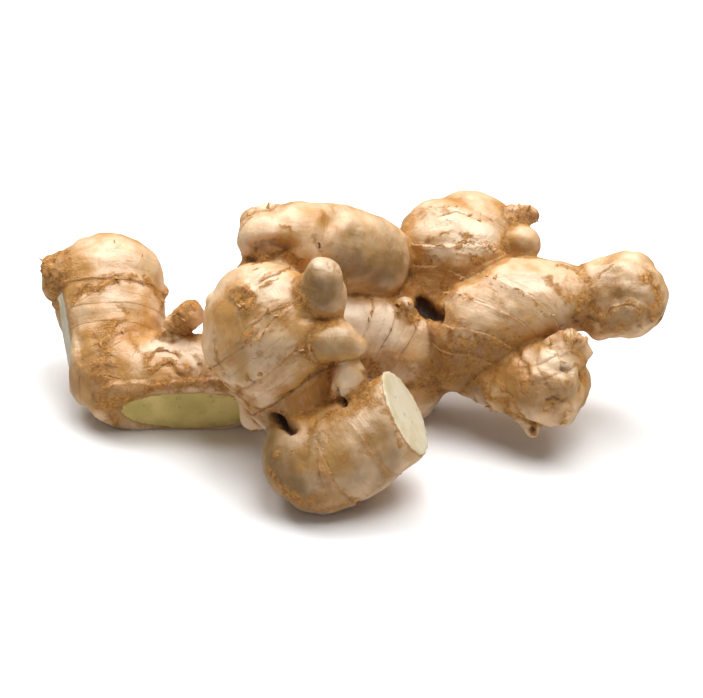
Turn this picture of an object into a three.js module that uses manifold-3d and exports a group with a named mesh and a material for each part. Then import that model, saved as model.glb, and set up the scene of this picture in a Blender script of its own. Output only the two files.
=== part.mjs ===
// A fresh ginger root: one rhizome of plump fingers with three sliced faces, lying on three low points of its own.
// Millimetres, +Z up. The root's long way runs along X, and its front is towards -Y.
import * as THREE from "three";
import { mergeVertices } from "three/addons/utils/BufferGeometryUtils.js";
import Module from "manifold-3d";

const wasm = await Module();
wasm.setup();
const { smoothstep } = THREE.MathUtils;

// Growth rings: the scar that each fallen scale leaf leaves round a finger
const ringLip = 0.5; // the skin stands this much proud on the old side of a ring
const ringGroove = 0.55; // and dips this much in the ring itself
const lipReach = 2.6;
const grooveReach = 1.5;
const lipAt = -0.6; // the lip's crest, before the ring
const grooveAt = 0.15;

// Uneven growth: how far a finger's section strays from a circle, as shares of its radius
const ovalShare = 0.035;
const lobeShare = 0.02;
const waistShare = 0.02;
const lobeTwist = 0.09; // radians per mm along the finger
const waistPitch = 0.3;

// Facets
const rowStep = 6; // longest stretch of a finger with no row of its own
const capRows = 4;
const frameSteps = 80;
const fadeReach = 8; // rings and their tilt die away within this of a finger's end
const shortestRow = 0.35;

// Each finger is swept along a spine of [x, y, z, radius]. Rings are places along it, in mm from its start.
// lean is how far the rings are carried along on the side it points to, in mm. blunt squares off the ends,
// and seed sets how the section strays.
const fingers = {
  leftFinger: {
    spine: [
      [-72.6, 41, 29.2, 16.3],
      [-71.2, 29, 20, 15],
      [-68, 18, 13.4, 14],
      [-56, 15.5, 11, 13.7],
      [-43, 15, 11, 14],
      [-29, 13, 14, 12.5],
      [-18, 11, 19, 11],
    ],
    rings: [5, 13, 20, 28, 40, 51],
    lean: [0, 1, 0],
    sides: 23,
    blunt: 0.95,
    seed: 1.3,
  },
  leftTip: {
    spine: [
      [-86.3, 39, 33.4, 8],
      [-79, 40.5, 30.4, 12.6],
    ],
    rings: [8],
    lean: [0, -1, 0],
    sides: 16,
    blunt: 0.7,
    seed: 0.6,
  },
  middleFinger: {
    spine: [
      [-6, 12, 31, 11.4],
      [4.5, 15, 27, 12.7],
      [14, 17, 22.5, 12.6],
      [23, 18.5, 17.3, 12],
    ],
    rings: [7, 14, 21],
    lean: [0, 2, 1],
    sides: 21,
    blunt: 0.9,
    seed: 4.1,
  },
  mainBody: {
    spine: [
      [-16, -13, 23, 12.5],
      [-20.5, -8, 36.5, 19],
      [-24, -2, 45, 16.8],
      [-23.5, 5, 47.5, 11],
    ],
    rings: [4, 12, 20],
    lean: [4, 0.5, 1.5],
    sides: 22,
    blunt: 0.9,
    seed: 0.4,
  },
  topFinger: {
    spine: [
      [-24.5, 10, 60.2, 8],
      [-16.5, 13.5, 57.7, 11.6],
      [-6, 19, 53.5, 12.1],
      [5, 24, 46.4, 12.3],
    ],
    rings: [14],
    lean: [0, 2, 0],
    sides: 18,
    blunt: 0.95,
    seed: 2.2,
  },
  frontFinger: {
    spine: [
      [-13, -27, 13, 12.8],
      [-8.5, -28, 12.2, 14.8],
      [0, -27, 15.8, 13.8],
      [12.5, -24, 23.5, 12.7],
      [19, -23, 27.5, 12.4],
    ],
    rings: [8.5, 20],
    lean: [0.5, 0, -1],
    sides: 21,
    blunt: 0.9,
    seed: 5.2,
  },
  backFinger: {
    spine: [
      [22, 29, 31, 12.5],
      [26.8, 33, 36.5, 16.2],
      [31.8, 37, 42.3, 18],
      [35.3, 40.5, 43.8, 15.6],
    ],
    rings: [7, 14, 21],
    lean: [5, -3, -1],
    sides: 23,
    blunt: 0.95,
    seed: 3.4,
  },
  rightFinger: {
    spine: [
      [21, 18, 17.6, 10.5],
      [30, 17, 21, 12.8],
      [37.5, 16, 29.7, 14.5],
      [48.2, 17, 35.7, 13.7],
      [58.3, 18, 37.1, 11.6],
      [65, 18, 37, 9.6],
    ],
    rings: [12, 19, 27, 35],
    lean: [2, -7, -6],
    sides: 21,
    blunt: 0.85,
    seed: 0.9,
  },
  rightKnob: {
    spine: [
      [73, 18, 37.6, 11],
      [78.6, 18, 38.1, 12.3],
    ],
    sides: 18,
    blunt: 0.97,
    seed: 2.9,
  },
  lowFinger: {
    spine: [
      [33, 17, 16, 8],
      [38, 13, 16, 8.6],
      [46, 6, 18.3, 10.2],
      [57, -1, 20.4, 12],
    ],
    rings: [10, 17],
    lean: [0, 1, 2],
    sides: 20,
    blunt: 0.85,
    seed: 5.7,
  },
  heel: {
    spine: [
      [20, 18, 17, 11],
      [16.5, 16, 9.2, 10.8],
    ],
    sides: 14,
    blunt: 0.95,
    seed: 1.9,
  },
};

const buds = {
  leftBud: { spine: [[-53, 19, 22, 3.8], [-50, 20, 28, 4], [-46.6, 20, 31, 4.6]], sides: 12 },
  crownBud: { spine: [[-27.5, 14, 63.5, 4.2], [-23.5, 16, 66, 3.6]], sides: 12 },
  sideBud: { spine: [[-9.5, -8, 47, 6.8], [-8, -12, 56, 7.2], [-7, -13, 61, 5.2]], sides: 16 },
  thumbBud: { spine: [[-14, -16, 42.5, 6], [-3, -20, 45.3, 5.3], [1.2, -21, 44.2, 3.2]], sides: 14 },
  roundBud: { spine: [[0.4, -22, 37, 4], [-1.2, -23, 33, 4.4]], sides: 12 },
  underBud: { spine: [[-26, -5, 20, 7], [-26.5, -8, 14, 5]], sides: 14 },
  smallBud: { spine: [[13, 14, 33, 3.6], [15.2, 14, 37.6, 3]], sides: 10 },
  shoulderBud: { spine: [[44, 33, 46, 5], [49.8, 30, 49, 5.2]], sides: 14 },
  shoulderTip: { spine: [[46, 38, 52.5, 4.4], [51.9, 38, 54.1, 3]], sides: 10 },
  lowTip: { spine: [[47.5, -1, 12, 3.6], [51.5, -5, 7.3, 2.3]], sides: 10 },
  lowNub: { spine: [[57, 1, 31, 3.6], [62.5, 1, 32, 3.1], [65.7, 0, 29.5, 2.3]], sides: 10 },
  knobTip: { spine: [[84, 14, 34, 3], [88.3, 12, 34.3, 1.2]], sides: 8 },
};

// Marks on the skin. Each is on a finger, at a place along its spine, on the side that faces towards.
// A place past the spine's end is on the round end.
const scars = [
  { on: "rightKnob", place: 4, towards: [0, -0.99, -0.13], radius: 5.4, height: 1 },
  { on: "rightKnob", place: 99, towards: [0.58, -0.42, 0.69], radius: 2.6, height: 0.6 },
  { on: "lowFinger", place: 99, towards: [0.21, -0.92, -0.32], radius: 3.4, height: 1 },
  { on: "lowFinger", place: 99, towards: [0.26, -0.84, 0.48], radius: 2.2, height: 0.6 },
];
const patches = [
  { on: "mainBody", place: 26, towards: [-0.36, -0.73, 0.57], radius: 4, height: 0.8 },
  { on: "mainBody", place: 18, towards: [-0.37, -0.75, 0.55], radius: 3, height: 0.8 },
  { on: "mainBody", place: 27, towards: [-0.93, -0.18, 0.29], radius: 2.6, height: 0.9 },
  { on: "leftFinger", place: 2, towards: [0.98, 0.05, -0.1], radius: 2.4, height: 1.4 },
];

// Creases pressed into the skin where two lobes grew against each other, as [long, wide, deep] half sizes
const dents = {
  topFinger: [{ place: -1.2, towards: [0, -0.95, 0.24], size: [6, 2.4, 1.8] }],
};

// Faces where the root was sliced, each through one finger: everything on the normal's side is gone
const cuts = {
  leftFinger: [
    { at: [-43, 4.5, 9], normal: [0, -0.97, -0.23] },
    { at: [-83.8, 25.1, 20.4], normal: [-0.955, -0.295, 0.03] },
  ],
  frontFinger: [{ at: [14.5, -24, 25.5], normal: [0.85, -0.05, 0.53] }],
};
const cutAcross = 60;
const floorAcross = 300;

// A finger's centre line and radius at any place along it, its round ends included
function spineOf({ spine, blunt = 0.9 }) {
  const line = new THREE.CatmullRomCurve3(spine.map(([x, y, z]) => new THREE.Vector3(x, y, z)), false, "centripetal");
  const radii = new THREE.SplineCurve(spine.map((point, i) => new THREE.Vector2(i, point[3])));
  const frames = line.computeFrenetFrames(frameSteps);
  const length = line.getLength();
  const startCap = spine[0][3] * blunt;
  const endCap = spine[spine.length - 1][3] * blunt;
  const at = (place) => {
    const inside = THREE.MathUtils.clamp(place, 0, length);
    const u = inside / length;
    const t = line.getUtoTmapping(u);
    const past = place - inside;
    const step = Math.round(u * frameSteps);
    const share = Math.min(1, Math.abs(past) / (past < 0 ? startCap : endCap));
    return {
      centre: line.getPoint(t).addScaledVector(frames.tangents[step], past),
      radius: radii.getPoint(t).y * Math.sqrt(1 - share * share),
      along: frames.tangents[step],
      outward: (angle) => {
        const side = frames.normals[step].clone().multiplyScalar(-Math.cos(angle));
        return side.addScaledVector(frames.binormals[step], Math.sin(angle));
      },
    };
  };
  return { at, length, start: -startCap, end: length + endCap };
}

// Height of the skin at a distance past a ring
function ringRelief(distance) {
  const rise = ringLip * smoothstep(distance, -lipReach, lipAt);
  const drop = (ringLip + ringGroove) * smoothstep(distance, lipAt, grooveAt);
  const settle = ringGroove * smoothstep(distance, grooveAt, grooveReach);
  return rise - drop + settle;
}

// How a finger's section strays from a circle
function swell(angle, place, seed) {
  const oval = ovalShare * Math.sin(2 * angle + seed);
  const lobes = lobeShare * Math.sin(3 * angle - lobeTwist * place + 2 * seed);
  const waist = waistShare * Math.sin(waistPitch * place + 3 * seed);
  return 1 + oval + lobes + waist;
}

// Places along a finger where it has a row of vertices
function rowsOf(path, rings) {
  const places = new Set([path.start, path.end, 0, path.length]);
  for (let i = 1; i < capRows; i += 1) {
    const share = Math.cos((i / capRows) * (Math.PI / 2));
    places.add(path.start * share);
    places.add(path.length + (path.end - path.length) * share);
  }
  for (const ring of rings) {
    for (const offset of [lipAt, grooveAt, grooveReach]) places.add(ring + offset);
  }
  const sorted = [...places].sort((a, b) => a - b);
  const spaced = [sorted[0]];
  for (const place of sorted.slice(1)) {
    const last = spaced[spaced.length - 1];
    if (place - last < shortestRow) continue;
    const parts = Math.ceil((place - last) / rowStep);
    for (let i = 1; i <= parts; i += 1) spaced.push(last + ((place - last) * i) / parts);
  }
  return spaced;
}

function bare(geometry) {
  geometry.deleteAttribute("normal");
  geometry.deleteAttribute("uv");
  return geometry;
}

// A finger as a sphere whose rows are moved out along its spine
function fingerGeometry(finger) {
  const { rings = [], lean = [0, 0, 0], sides, seed = 0 } = finger;
  const path = spineOf(finger);
  const tip = new THREE.Vector3(...lean);
  const rows = rowsOf(path, rings);
  const geometry = bare(new THREE.SphereGeometry(1, sides, rows.length - 1));
  const position = geometry.attributes.position;
  rows.forEach((place, row) => {
    const fade = smoothstep(Math.min(place - path.start, path.end - place), 0, fadeReach);
    const relief = fade * rings.reduce((sum, ring) => sum + ringRelief(place - ring), 0);
    const pole = row === 0 || row === rows.length - 1;
    for (let column = 0; column <= sides; column += 1) {
      const angle = ((column % sides) / sides) * 2 * Math.PI;
      const outward = path.at(place).outward(angle);
      const { centre, radius, outward: turned } = path.at(place + fade * tip.dot(outward));
      const reach = pole ? 0 : radius * swell(angle, place, seed) + relief;
      centre.addScaledVector(turned(angle), reach);
      position.setXYZ(row * (sides + 1) + column, centre.x, centre.y, centre.z);
    }
  });
  return mergeVertices(geometry, 1e-4);
}

function solidOf(geometry) {
  return new wasm.Manifold(
    new wasm.Mesh({
      numProp: 3,
      vertProperties: geometry.attributes.position.array,
      triVerts: new Uint32Array(geometry.index.array),
    }),
  );
}

// Where a mark sits on the skin of its finger, and which way it faces
function spotOf({ on, place, towards }) {
  const path = spineOf(fingers[on]);
  const { centre, radius, along } = path.at(Math.min(place, path.length));
  const facing = new THREE.Vector3(...towards);
  if (place < path.length) facing.addScaledVector(along, -facing.dot(along));
  facing.normalize();
  return { point: centre.addScaledVector(facing, radius), facing, along };
}

function placed(geometry, point, facing) {
  const turn = new THREE.Quaternion().setFromUnitVectors(new THREE.Vector3(0, 1, 0), facing);
  geometry.applyQuaternion(turn).translate(point.x, point.y, point.z);
  return solidOf(mergeVertices(geometry, 1e-4));
}

// A scar where a stem or a root came away: a low round pad with a raised rim and a dished middle
function scarSolid(scar) {
  const { radius, height } = scar;
  const { point, facing } = spotOf(scar);
  const profile = [
    [0, -2.5 * height],
    [0.9 * radius, -2.5 * height],
    [radius, 0],
    [0.86 * radius, height],
    [0.6 * radius, 0.35 * height],
    [0, 0.55 * height],
  ];
  const lathe = new THREE.LatheGeometry(profile.map(([x, y]) => new THREE.Vector2(x, y)), 14);
  return placed(bare(lathe), point, facing);
}

// A patch of root warts: a low dome
function patchSolid(patch) {
  const { radius, height } = patch;
  const { point, facing } = spotOf(patch);
  const dome = bare(new THREE.SphereGeometry(1, 12, 8));
  dome.scale(radius, 2 * height, radius).translate(0, -height, 0);
  return placed(dome, point, facing);
}

// A lens-shaped hollow to take out of a finger, its long way along the spine
function dentSolid(on, { place, towards, size }) {
  const { point, facing, along } = spotOf({ on, place, towards });
  const [long, wide, deep] = size;
  const lens = bare(new THREE.SphereGeometry(1, 12, 8));
  const turn = new THREE.Matrix4().makeBasis(along, facing, along.clone().cross(facing));
  lens.scale(long, deep, wide).applyMatrix4(turn.setPosition(point));
  return solidOf(mergeVertices(lens, 1e-4));
}

// A block whose one face is the cut
function cutBlock({ at, normal, across = cutAcross }) {
  const block = bare(new THREE.BoxGeometry(across, across, across));
  const facing = new THREE.Vector3(...normal).normalize();
  const middle = new THREE.Vector3(...at).addScaledVector(facing, across / 2);
  return placed(block, middle, facing);
}

const solids = Object.entries({ ...fingers, ...buds }).map(([name, finger]) => {
  let solid = solidOf(fingerGeometry(finger));
  for (const cut of cuts[name] ?? []) solid = solid.subtract(cutBlock(cut));
  for (const dent of dents[name] ?? []) solid = solid.subtract(dentSolid(name, dent));
  return solid;
});
solids.push(...scars.map(scarSolid), ...patches.map(patchSolid));
const floor = cutBlock({ at: [0, 0, 0], normal: [0, 0, -1], across: floorAcross });
const root = solids.reduce((whole, solid) => whole.add(solid)).subtract(floor);

function meshOf(solid, name, material) {
  const { vertProperties, triVerts } = solid.getMesh();
  const geometry = new THREE.BufferGeometry();
  geometry.setAttribute("position", new THREE.BufferAttribute(vertProperties, 3));
  geometry.setIndex(new THREE.BufferAttribute(triVerts, 1));
  geometry.computeVertexNormals();
  geometry.computeBoundingBox();
  const mesh = new THREE.Mesh(geometry, material);
  mesh.name = name;
  const middle = geometry.boundingBox.getCenter(new THREE.Vector3());
  mesh.position.set(-middle.x, -middle.y, 0);
  return mesh;
}

const skin = new THREE.MeshStandardMaterial({ color: 0xcfa77a, roughness: 0.62, metalness: 0 });
const gingerRoot = new THREE.Group();
gingerRoot.add(meshOf(root, "ginger_root", skin));

export default gingerRoot;
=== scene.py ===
import math

import bmesh
import bpy
import numpy as np
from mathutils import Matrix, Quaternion, Vector, noise
from mathutils.bvhtree import BVHTree


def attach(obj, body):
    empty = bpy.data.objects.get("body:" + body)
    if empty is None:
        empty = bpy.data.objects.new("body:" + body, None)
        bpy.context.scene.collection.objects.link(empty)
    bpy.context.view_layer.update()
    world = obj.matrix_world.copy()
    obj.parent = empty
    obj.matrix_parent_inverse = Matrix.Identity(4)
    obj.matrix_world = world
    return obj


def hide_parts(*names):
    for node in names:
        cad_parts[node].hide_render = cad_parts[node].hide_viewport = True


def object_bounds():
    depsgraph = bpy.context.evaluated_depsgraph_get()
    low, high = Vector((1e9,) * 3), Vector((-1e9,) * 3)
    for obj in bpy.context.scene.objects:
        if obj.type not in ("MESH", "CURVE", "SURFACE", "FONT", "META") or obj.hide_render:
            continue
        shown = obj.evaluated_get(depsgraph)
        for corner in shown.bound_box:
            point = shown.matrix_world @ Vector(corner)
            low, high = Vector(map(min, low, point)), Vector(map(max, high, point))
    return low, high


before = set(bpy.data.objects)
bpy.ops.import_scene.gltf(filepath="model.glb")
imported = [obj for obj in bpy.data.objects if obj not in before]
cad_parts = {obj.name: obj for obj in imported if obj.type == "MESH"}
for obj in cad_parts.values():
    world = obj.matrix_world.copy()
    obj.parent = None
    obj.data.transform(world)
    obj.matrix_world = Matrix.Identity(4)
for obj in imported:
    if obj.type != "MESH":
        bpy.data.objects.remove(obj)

noise.seed_set(5)  # the marks are ragged in the same way in each run

# A fresh ginger root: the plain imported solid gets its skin, rings, root scars, buds and cut flesh.
# The root is worked out in mm about its own origin, and goes into the frame in metres at the end.
mm = 0.001
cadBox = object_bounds()
rootOrigin = Vector((0.893, -6.908, 0))  # where the root's own origin lies in the frame, mm

# Camera and light, as the photograph was taken

photo = {
    "width": 703,
    "middle": (351.5, 349),  # pixel on the camera's axis
    "target": (0, 0, 31),  # mm, about the root's origin
    "elevation": 30,
    "distance": 547,  # mm
    "lens": 100,
    "sensor": 36,
}


def addCamera():
    tilt = math.radians(photo["elevation"])
    target = (Vector(photo["target"]) + rootOrigin) * mm
    back = Vector((0, -math.cos(tilt), math.sin(tilt)))
    camera = bpy.data.objects.new("studioCamera", bpy.data.cameras.new("studioCamera"))
    camera.data.lens = photo["lens"]
    camera.data.sensor_width = photo["sensor"]
    camera.location = target + back * photo["distance"] * mm
    camera.rotation_euler = (-back).to_track_quat("-Z", "Y").to_euler()
    bpy.context.scene.collection.objects.link(camera)
    bpy.context.scene.camera = camera


def sightLine(px, py):  # ray from the camera through a pixel of the photograph, in the root's own mm
    tilt = math.radians(photo["elevation"])
    target = Vector(photo["target"])
    back = Vector((0, -math.cos(tilt), math.sin(tilt)))
    up = Vector((0, math.sin(tilt), math.cos(tilt)))
    perPixel = photo["sensor"] / photo["lens"] / photo["width"]
    across = (px - photo["middle"][0]) * perPixel
    rise = (photo["middle"][1] - py) * perPixel
    return target + back * photo["distance"], (Vector((across, 0, 0)) + up * rise - back).normalized()


studio = {
    "fill": 0.18,
    "keyPlace": (0.28, 0.06, 1.02),  # m, above the root and to its right
    "keySize": 0.75,
    "keyPower": 12,
    "backPlace": (-0.3, 0.5, 0.88),
    "backSize": 0.75,
    "backPower": 9.5,
    "aim": (0, 0, 0.03),  # m, where both lights point
    "floor": (0.9, 0.9, 0.9, 1),
    "floorHalf": 3,  # m
    "floorRoughness": 0.9,
    "floorShine": 0.1,
}


def addLight(name, place, size, power):
    lamp = bpy.data.objects.new(name, bpy.data.lights.new(name, "AREA"))
    lamp.data.size = size
    lamp.data.energy = power
    lamp.location = place
    lamp.rotation_euler = (Vector(studio["aim"]) - Vector(place)).to_track_quat("-Z", "Y").to_euler()
    bpy.context.scene.collection.objects.link(lamp)


def addStudio():
    world = bpy.data.worlds.new("studioWorld")
    world.use_nodes = True
    sky = world.node_tree.nodes["Background"].inputs
    sky["Color"].default_value = (1, 1, 1, 1)
    sky["Strength"].default_value = studio["fill"]
    bpy.context.scene.world = world
    bpy.context.scene.view_settings.view_transform = "Standard"
    addLight("keyLight", studio["keyPlace"], studio["keySize"], studio["keyPower"])
    addLight("backLight", studio["backPlace"], studio["backSize"], studio["backPower"])
    floorMesh = bmesh.new()
    bmesh.ops.create_grid(floorMesh, x_segments=2, y_segments=2, size=studio["floorHalf"])
    mesh = bpy.data.meshes.new("studioFloor")
    floorMesh.to_mesh(mesh)
    floorMesh.free()
    floor = bpy.data.objects.new("studioFloor", mesh)
    bpy.context.scene.collection.objects.link(floor)
    floor.visible_glossy = False  # the skin doesn't mirror the paper
    paper = bpy.data.materials.new("paperWhite")
    paper.use_nodes = True
    shader = paper.node_tree.nodes["Principled BSDF"].inputs
    shader["Base Color"].default_value = studio["floor"]
    shader["Roughness"].default_value = studio["floorRoughness"]
    shader["Specular IOR Level"].default_value = studio["floorShine"]
    mesh.materials.append(paper)


# The fingers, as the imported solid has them: spine points are (x, y, z, radius) in mm, rings are places along
# the spine, show is how plain each ring is, and lean carries a ring along on the side that it points to

fingers = {
    "leftFinger": {
        "spine": [(-72.6, 41, 29.2, 16.3), (-71.2, 29, 20, 15), (-68, 18, 13.4, 14), (-56, 15.5, 11, 13.7),
                  (-43, 15, 11, 14), (-29, 13, 14, 12.5), (-18, 11, 19, 11)],
        "rings": [5, 13, 20, 28, 40, 51], "show": [0.65, 0.25, 0.22, 0.25, 0.2, 0.25],
        "lean": (0, 1, 0), "blunt": 0.95, "seed": 1.3,
    },
    "leftTip": {
        "spine": [(-86.3, 39, 33.4, 8), (-79, 40.5, 30.4, 12.6)],
        "rings": [8], "lean": (0, -1, 0), "blunt": 0.7, "seed": 0.6,
    },
    "middleFinger": {
        "spine": [(-6, 12, 31, 11.4), (4.5, 15, 27, 12.7), (14, 17, 22.5, 12.6), (23, 18.5, 17.3, 12)],
        "rings": [7, 14, 21], "lean": (0, 2, 1), "blunt": 0.9, "seed": 4.1,
    },
    "mainBody": {
        "spine": [(-16, -13, 23, 12.5), (-20.5, -8, 36.5, 19), (-24, -2, 45, 16.8), (-23.5, 5, 47.5, 11)],
        "rings": [4, 12, 20], "show": [1, 0.7, 0.6], "lean": (4, 0.5, 1.5), "blunt": 0.9, "seed": 0.4,
    },
    "topFinger": {
        "spine": [(-24.5, 10, 60.2, 8), (-16.5, 13.5, 57.7, 11.6), (-6, 19, 53.5, 12.1), (5, 24, 46.4, 12.3)],
        "rings": [14], "show": [0.12], "lean": (0, 2, 0), "blunt": 0.95, "seed": 2.2,
    },
    "frontFinger": {
        "spine": [(-13, -27, 13, 12.8), (-8.5, -28, 12.2, 14.8), (0, -27, 15.8, 13.8), (12.5, -24, 23.5, 12.7),
                  (19, -23, 27.5, 12.4)],
        "rings": [8.5, 20], "show": [0.7, 0.4], "lean": (0.5, 0, -1), "blunt": 0.9, "seed": 5.2,
    },
    "backFinger": {
        "spine": [(22, 29, 31, 12.5), (26.8, 33, 36.5, 16.2), (31.8, 37, 42.3, 18), (35.3, 40.5, 43.8, 15.6)],
        "rings": [7, 14, 21], "show": [0.8, 0.9, 0.7], "lean": (5, -3, -1), "blunt": 0.95, "seed": 3.4,
    },
    "rightFinger": {
        "spine": [(21, 18, 17.6, 10.5), (30, 17, 21, 12.8), (37.5, 16, 29.7, 14.5), (48.2, 17, 35.7, 13.7),
                  (58.3, 18, 37.1, 11.6), (65, 18, 37, 9.6)],
        "rings": [12, 19, 27, 35], "show": [0.75, 0.6, 0.6, 0.5],
        "lean": (2, -7, -6), "blunt": 0.85, "seed": 0.9,
    },
    "rightKnob": {
        "spine": [(73, 18, 37.6, 11), (78.6, 18, 38.1, 12.3)],
        "rings": [], "lean": (0, 0, 0), "blunt": 0.97, "seed": 2.9,
    },
    "lowFinger": {
        "spine": [(33, 17, 16, 8), (38, 13, 16, 8.6), (46, 6, 18.3, 10.2), (57, -1, 20.4, 12)],
        "rings": [10, 17], "lean": (0, 1, 2), "blunt": 0.85, "seed": 5.7,
    },
    "heel": {
        "spine": [(20, 18, 17, 11), (16.5, 16, 9.2, 10.8)],
        "rings": [], "lean": (0, 0, 0), "blunt": 0.95, "seed": 1.9,
    },
    "leftBud": {"spine": [(-53, 19, 22, 3.8), (-50, 20, 28, 4), (-46.6, 20, 31, 4.6)],
                "rings": [4.5, 7, 9.3, 11.2]},
    "crownBud": {"spine": [(-27.5, 14, 63.5, 4.2), (-23.5, 16, 66, 3.6)], "rings": [3.4]},
    "sideBud": {"spine": [(-9.5, -8, 47, 6.8), (-8, -12, 56, 7.2), (-7, -13, 61, 5.2)], "rings": [13.5],
                "show": [0.15]},
    "thumbBud": {"spine": [(-14, -16, 42.5, 6), (-3, -20, 45.3, 5.3), (1.2, -21, 44.2, 3.2)], "rings": [6]},
    "roundBud": {"spine": [(0.4, -22, 37, 4), (-1.2, -23, 33, 4.4)], "rings": []},
    "underBud": {"spine": [(-26, -5, 20, 7), (-26.5, -8, 14, 5)], "rings": [3]},
    "smallBud": {"spine": [(13, 14, 33, 3.6), (15.2, 14, 37.6, 3)], "rings": [2.2, 4.4]},
    "shoulderBud": {"spine": [(44, 33, 46, 5), (49.8, 30, 49, 5.2)], "rings": [1.5]},
    "shoulderTip": {"spine": [(46, 38, 52.5, 4.4), (51.9, 38, 54.1, 3)], "rings": [2.2, 4.2]},
    "lowTip": {"spine": [(47.5, -1, 12, 3.6), (51.5, -5, 7.3, 2.3)], "rings": [3.4, 5.2]},
    "lowNub": {"spine": [(57, 1, 31, 3.6), (62.5, 1, 32, 3.1), (65.7, 0, 29.5, 2.3)], "rings": [3, 5.2, 7.4]},
    "knobTip": {"spine": [(84, 14, 34, 3), (88.3, 12, 34.3, 1.2)], "rings": [2.6]},
}

growth = {
    "oval": 0.035,  # shares of the radius by which a section strays from a circle
    "lobes": 0.02,
    "waist": 0.02,
    "lobeTwist": 0.09,
    "waistPitch": 0.3,
    "turns": 80,  # steps of the frame carried along a spine
    "fadeReach": 8,  # mm from a finger's end within which its rings die away
    "curveSteps": 400,
    "step": 0.5,  # mm between stations along a spine
    "sides": 72,
    "rowStep": 0.9,  # mm between rows of a finger's mesh
    "spareRows": 14,
    "blunt": 0.9,  # how far a finger's round end reaches, in radii, where the finger doesn't say
    "ringShow": 0.6,
    "wander": (0.35, 0.22),  # mm by which a ring strays along the finger, in two and in five waves
}

near = 1e-4

# Where fingers were cut: tone is 0 for fresh cream flesh and 1 for darker olive flesh, a painted shade on a cut
# facing the floor, and an outline rounds off the seen part, half its size about a pixel in the middle
cuts = {
    "leftFinger": [
        {"at": (-43, 4.5, 9), "normal": (0, -0.97, -0.23), "tone": 1, "middle": (190, 411), "half": (19.5, 7)},
        {"at": (-83.8, 25.1, 20.4), "normal": (-0.955, -0.295, 0.03), "tone": 0, "middle": (66, 336),
         "half": (8, 15)},
    ],
    "frontFinger": [{"at": (14.5, -24, 25.5), "normal": (0.85, -0.05, 0.53), "tone": 0}],
}


def splinePoint(points, t):  # centripetal curve through the points
    last = len(points) - 1
    i = min(int(t * last), last - 1)
    w = t * last - i
    p1, p2 = points[i], points[i + 1]
    p0 = points[i - 1] if i > 0 else 2 * p1 - p2
    p3 = points[i + 2] if i + 2 <= last else 2 * p2 - p1
    d0, d1, d2 = [math.sqrt(max((b - a).length, 1e-6)) for a, b in ((p0, p1), (p1, p2), (p2, p3))]
    m1 = ((p1 - p0) / d0 - (p2 - p0) / (d0 + d1) + (p2 - p1) / d1) * d1
    m2 = ((p2 - p1) / d1 - (p3 - p1) / (d1 + d2) + (p3 - p2) / d2) * d1
    return p1 + m1 * w + (3 * (p2 - p1) - 2 * m1 - m2) * w ** 2 + (2 * (p1 - p2) + m1 + m2) * w ** 3


def splineRadius(radii, t):
    last = len(radii) - 1
    i = min(int(t * last), last - 1)
    w = t * last - i
    r0, r1, r2, r3 = radii[max(i - 1, 0)], radii[i], radii[i + 1], radii[min(i + 2, last)]
    m1, m2 = (r2 - r0) / 2, (r3 - r1) / 2
    return r1 + m1 * w + (3 * (r2 - r1) - 2 * m1 - m2) * w ** 2 + (2 * (r1 - r2) + m1 + m2) * w ** 3


def carriedFrames(tangents):  # side vectors turned along the spine with no twist
    first = tangents[0]
    axis = min(range(3), key=lambda i: (abs(first[i]), -i))
    seedAxis = Vector([1 if i == axis else 0 for i in range(3)])
    sides = [first.cross(first.cross(seedAxis).normalized())]
    for before, after in zip(tangents, tangents[1:]):
        side = sides[-1].copy()
        hinge = before.cross(after)
        if hinge.length > 1e-9:
            side.rotate(Quaternion(hinge.normalized(), before.angle(after)))
        sides.append(side)
    return sides


def growSpine(finger):
    points = [Vector(p[:3]) for p in finger["spine"]]
    radii = [p[3] for p in finger["spine"]]
    ts = np.linspace(0, 1, growth["curveSteps"])
    line = [splinePoint(points, t) for t in ts]
    travelled = np.concatenate(([0], np.cumsum([(b - a).length for a, b in zip(line, line[1:])])))
    length = travelled[-1]
    blunt = finger.get("blunt", growth["blunt"])
    turnTs = np.interp(np.linspace(0, length, growth["turns"] + 1), travelled, ts)
    tangents = [(splinePoint(points, min(t + near, 1)) - splinePoint(points, max(t - near, 0))).normalized()
                for t in turnTs]
    sides = carriedFrames(tangents)
    ups = [tangent.cross(side) for tangent, side in zip(tangents, sides)]
    turnPlaces = np.linspace(0, length, growth["turns"] + 1)
    places = np.linspace(0, length, max(3, int(length / growth["step"]) + 2))
    atPlaces = np.interp(places, travelled, ts)

    def spread(vectors):
        rows = np.array([v[:] for v in vectors])
        wide = np.column_stack([np.interp(places, turnPlaces, rows[:, i]) for i in range(3)])
        return wide / np.linalg.norm(wide, axis=1)[:, None]

    return {
        "places": places,
        "length": length,
        "centre": np.array([splinePoint(points, t)[:] for t in atPlaces]),
        "radius": np.array([splineRadius(radii, t) for t in atPlaces]),
        "tangent": spread(tangents),
        "side": spread(sides),
        "up": spread(ups),
        "startCap": radii[0] * blunt,
        "endCap": radii[-1] * blunt,
    }


def stationAt(path, place):  # centre, section radius and axes at places along a finger, its round ends included
    inside = np.clip(place, 0, path["length"])
    past = place - inside

    def along(key):
        return np.column_stack([np.interp(inside, path["places"], path[key][:, i]) for i in range(3)])

    cap = np.where(past < 0, path["startCap"], path["endCap"])
    share = np.minimum(1, np.abs(past) / cap)
    radius = np.interp(inside, path["places"], path["radius"]) * np.sqrt(1 - share ** 2)
    tangent = along("tangent")
    return along("centre") + tangent * past[:, None], radius, along("side"), along("up"), tangent


def outwardOf(side, up, turn):
    return -np.cos(turn)[:, None] * side + np.sin(turn)[:, None] * up


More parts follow.
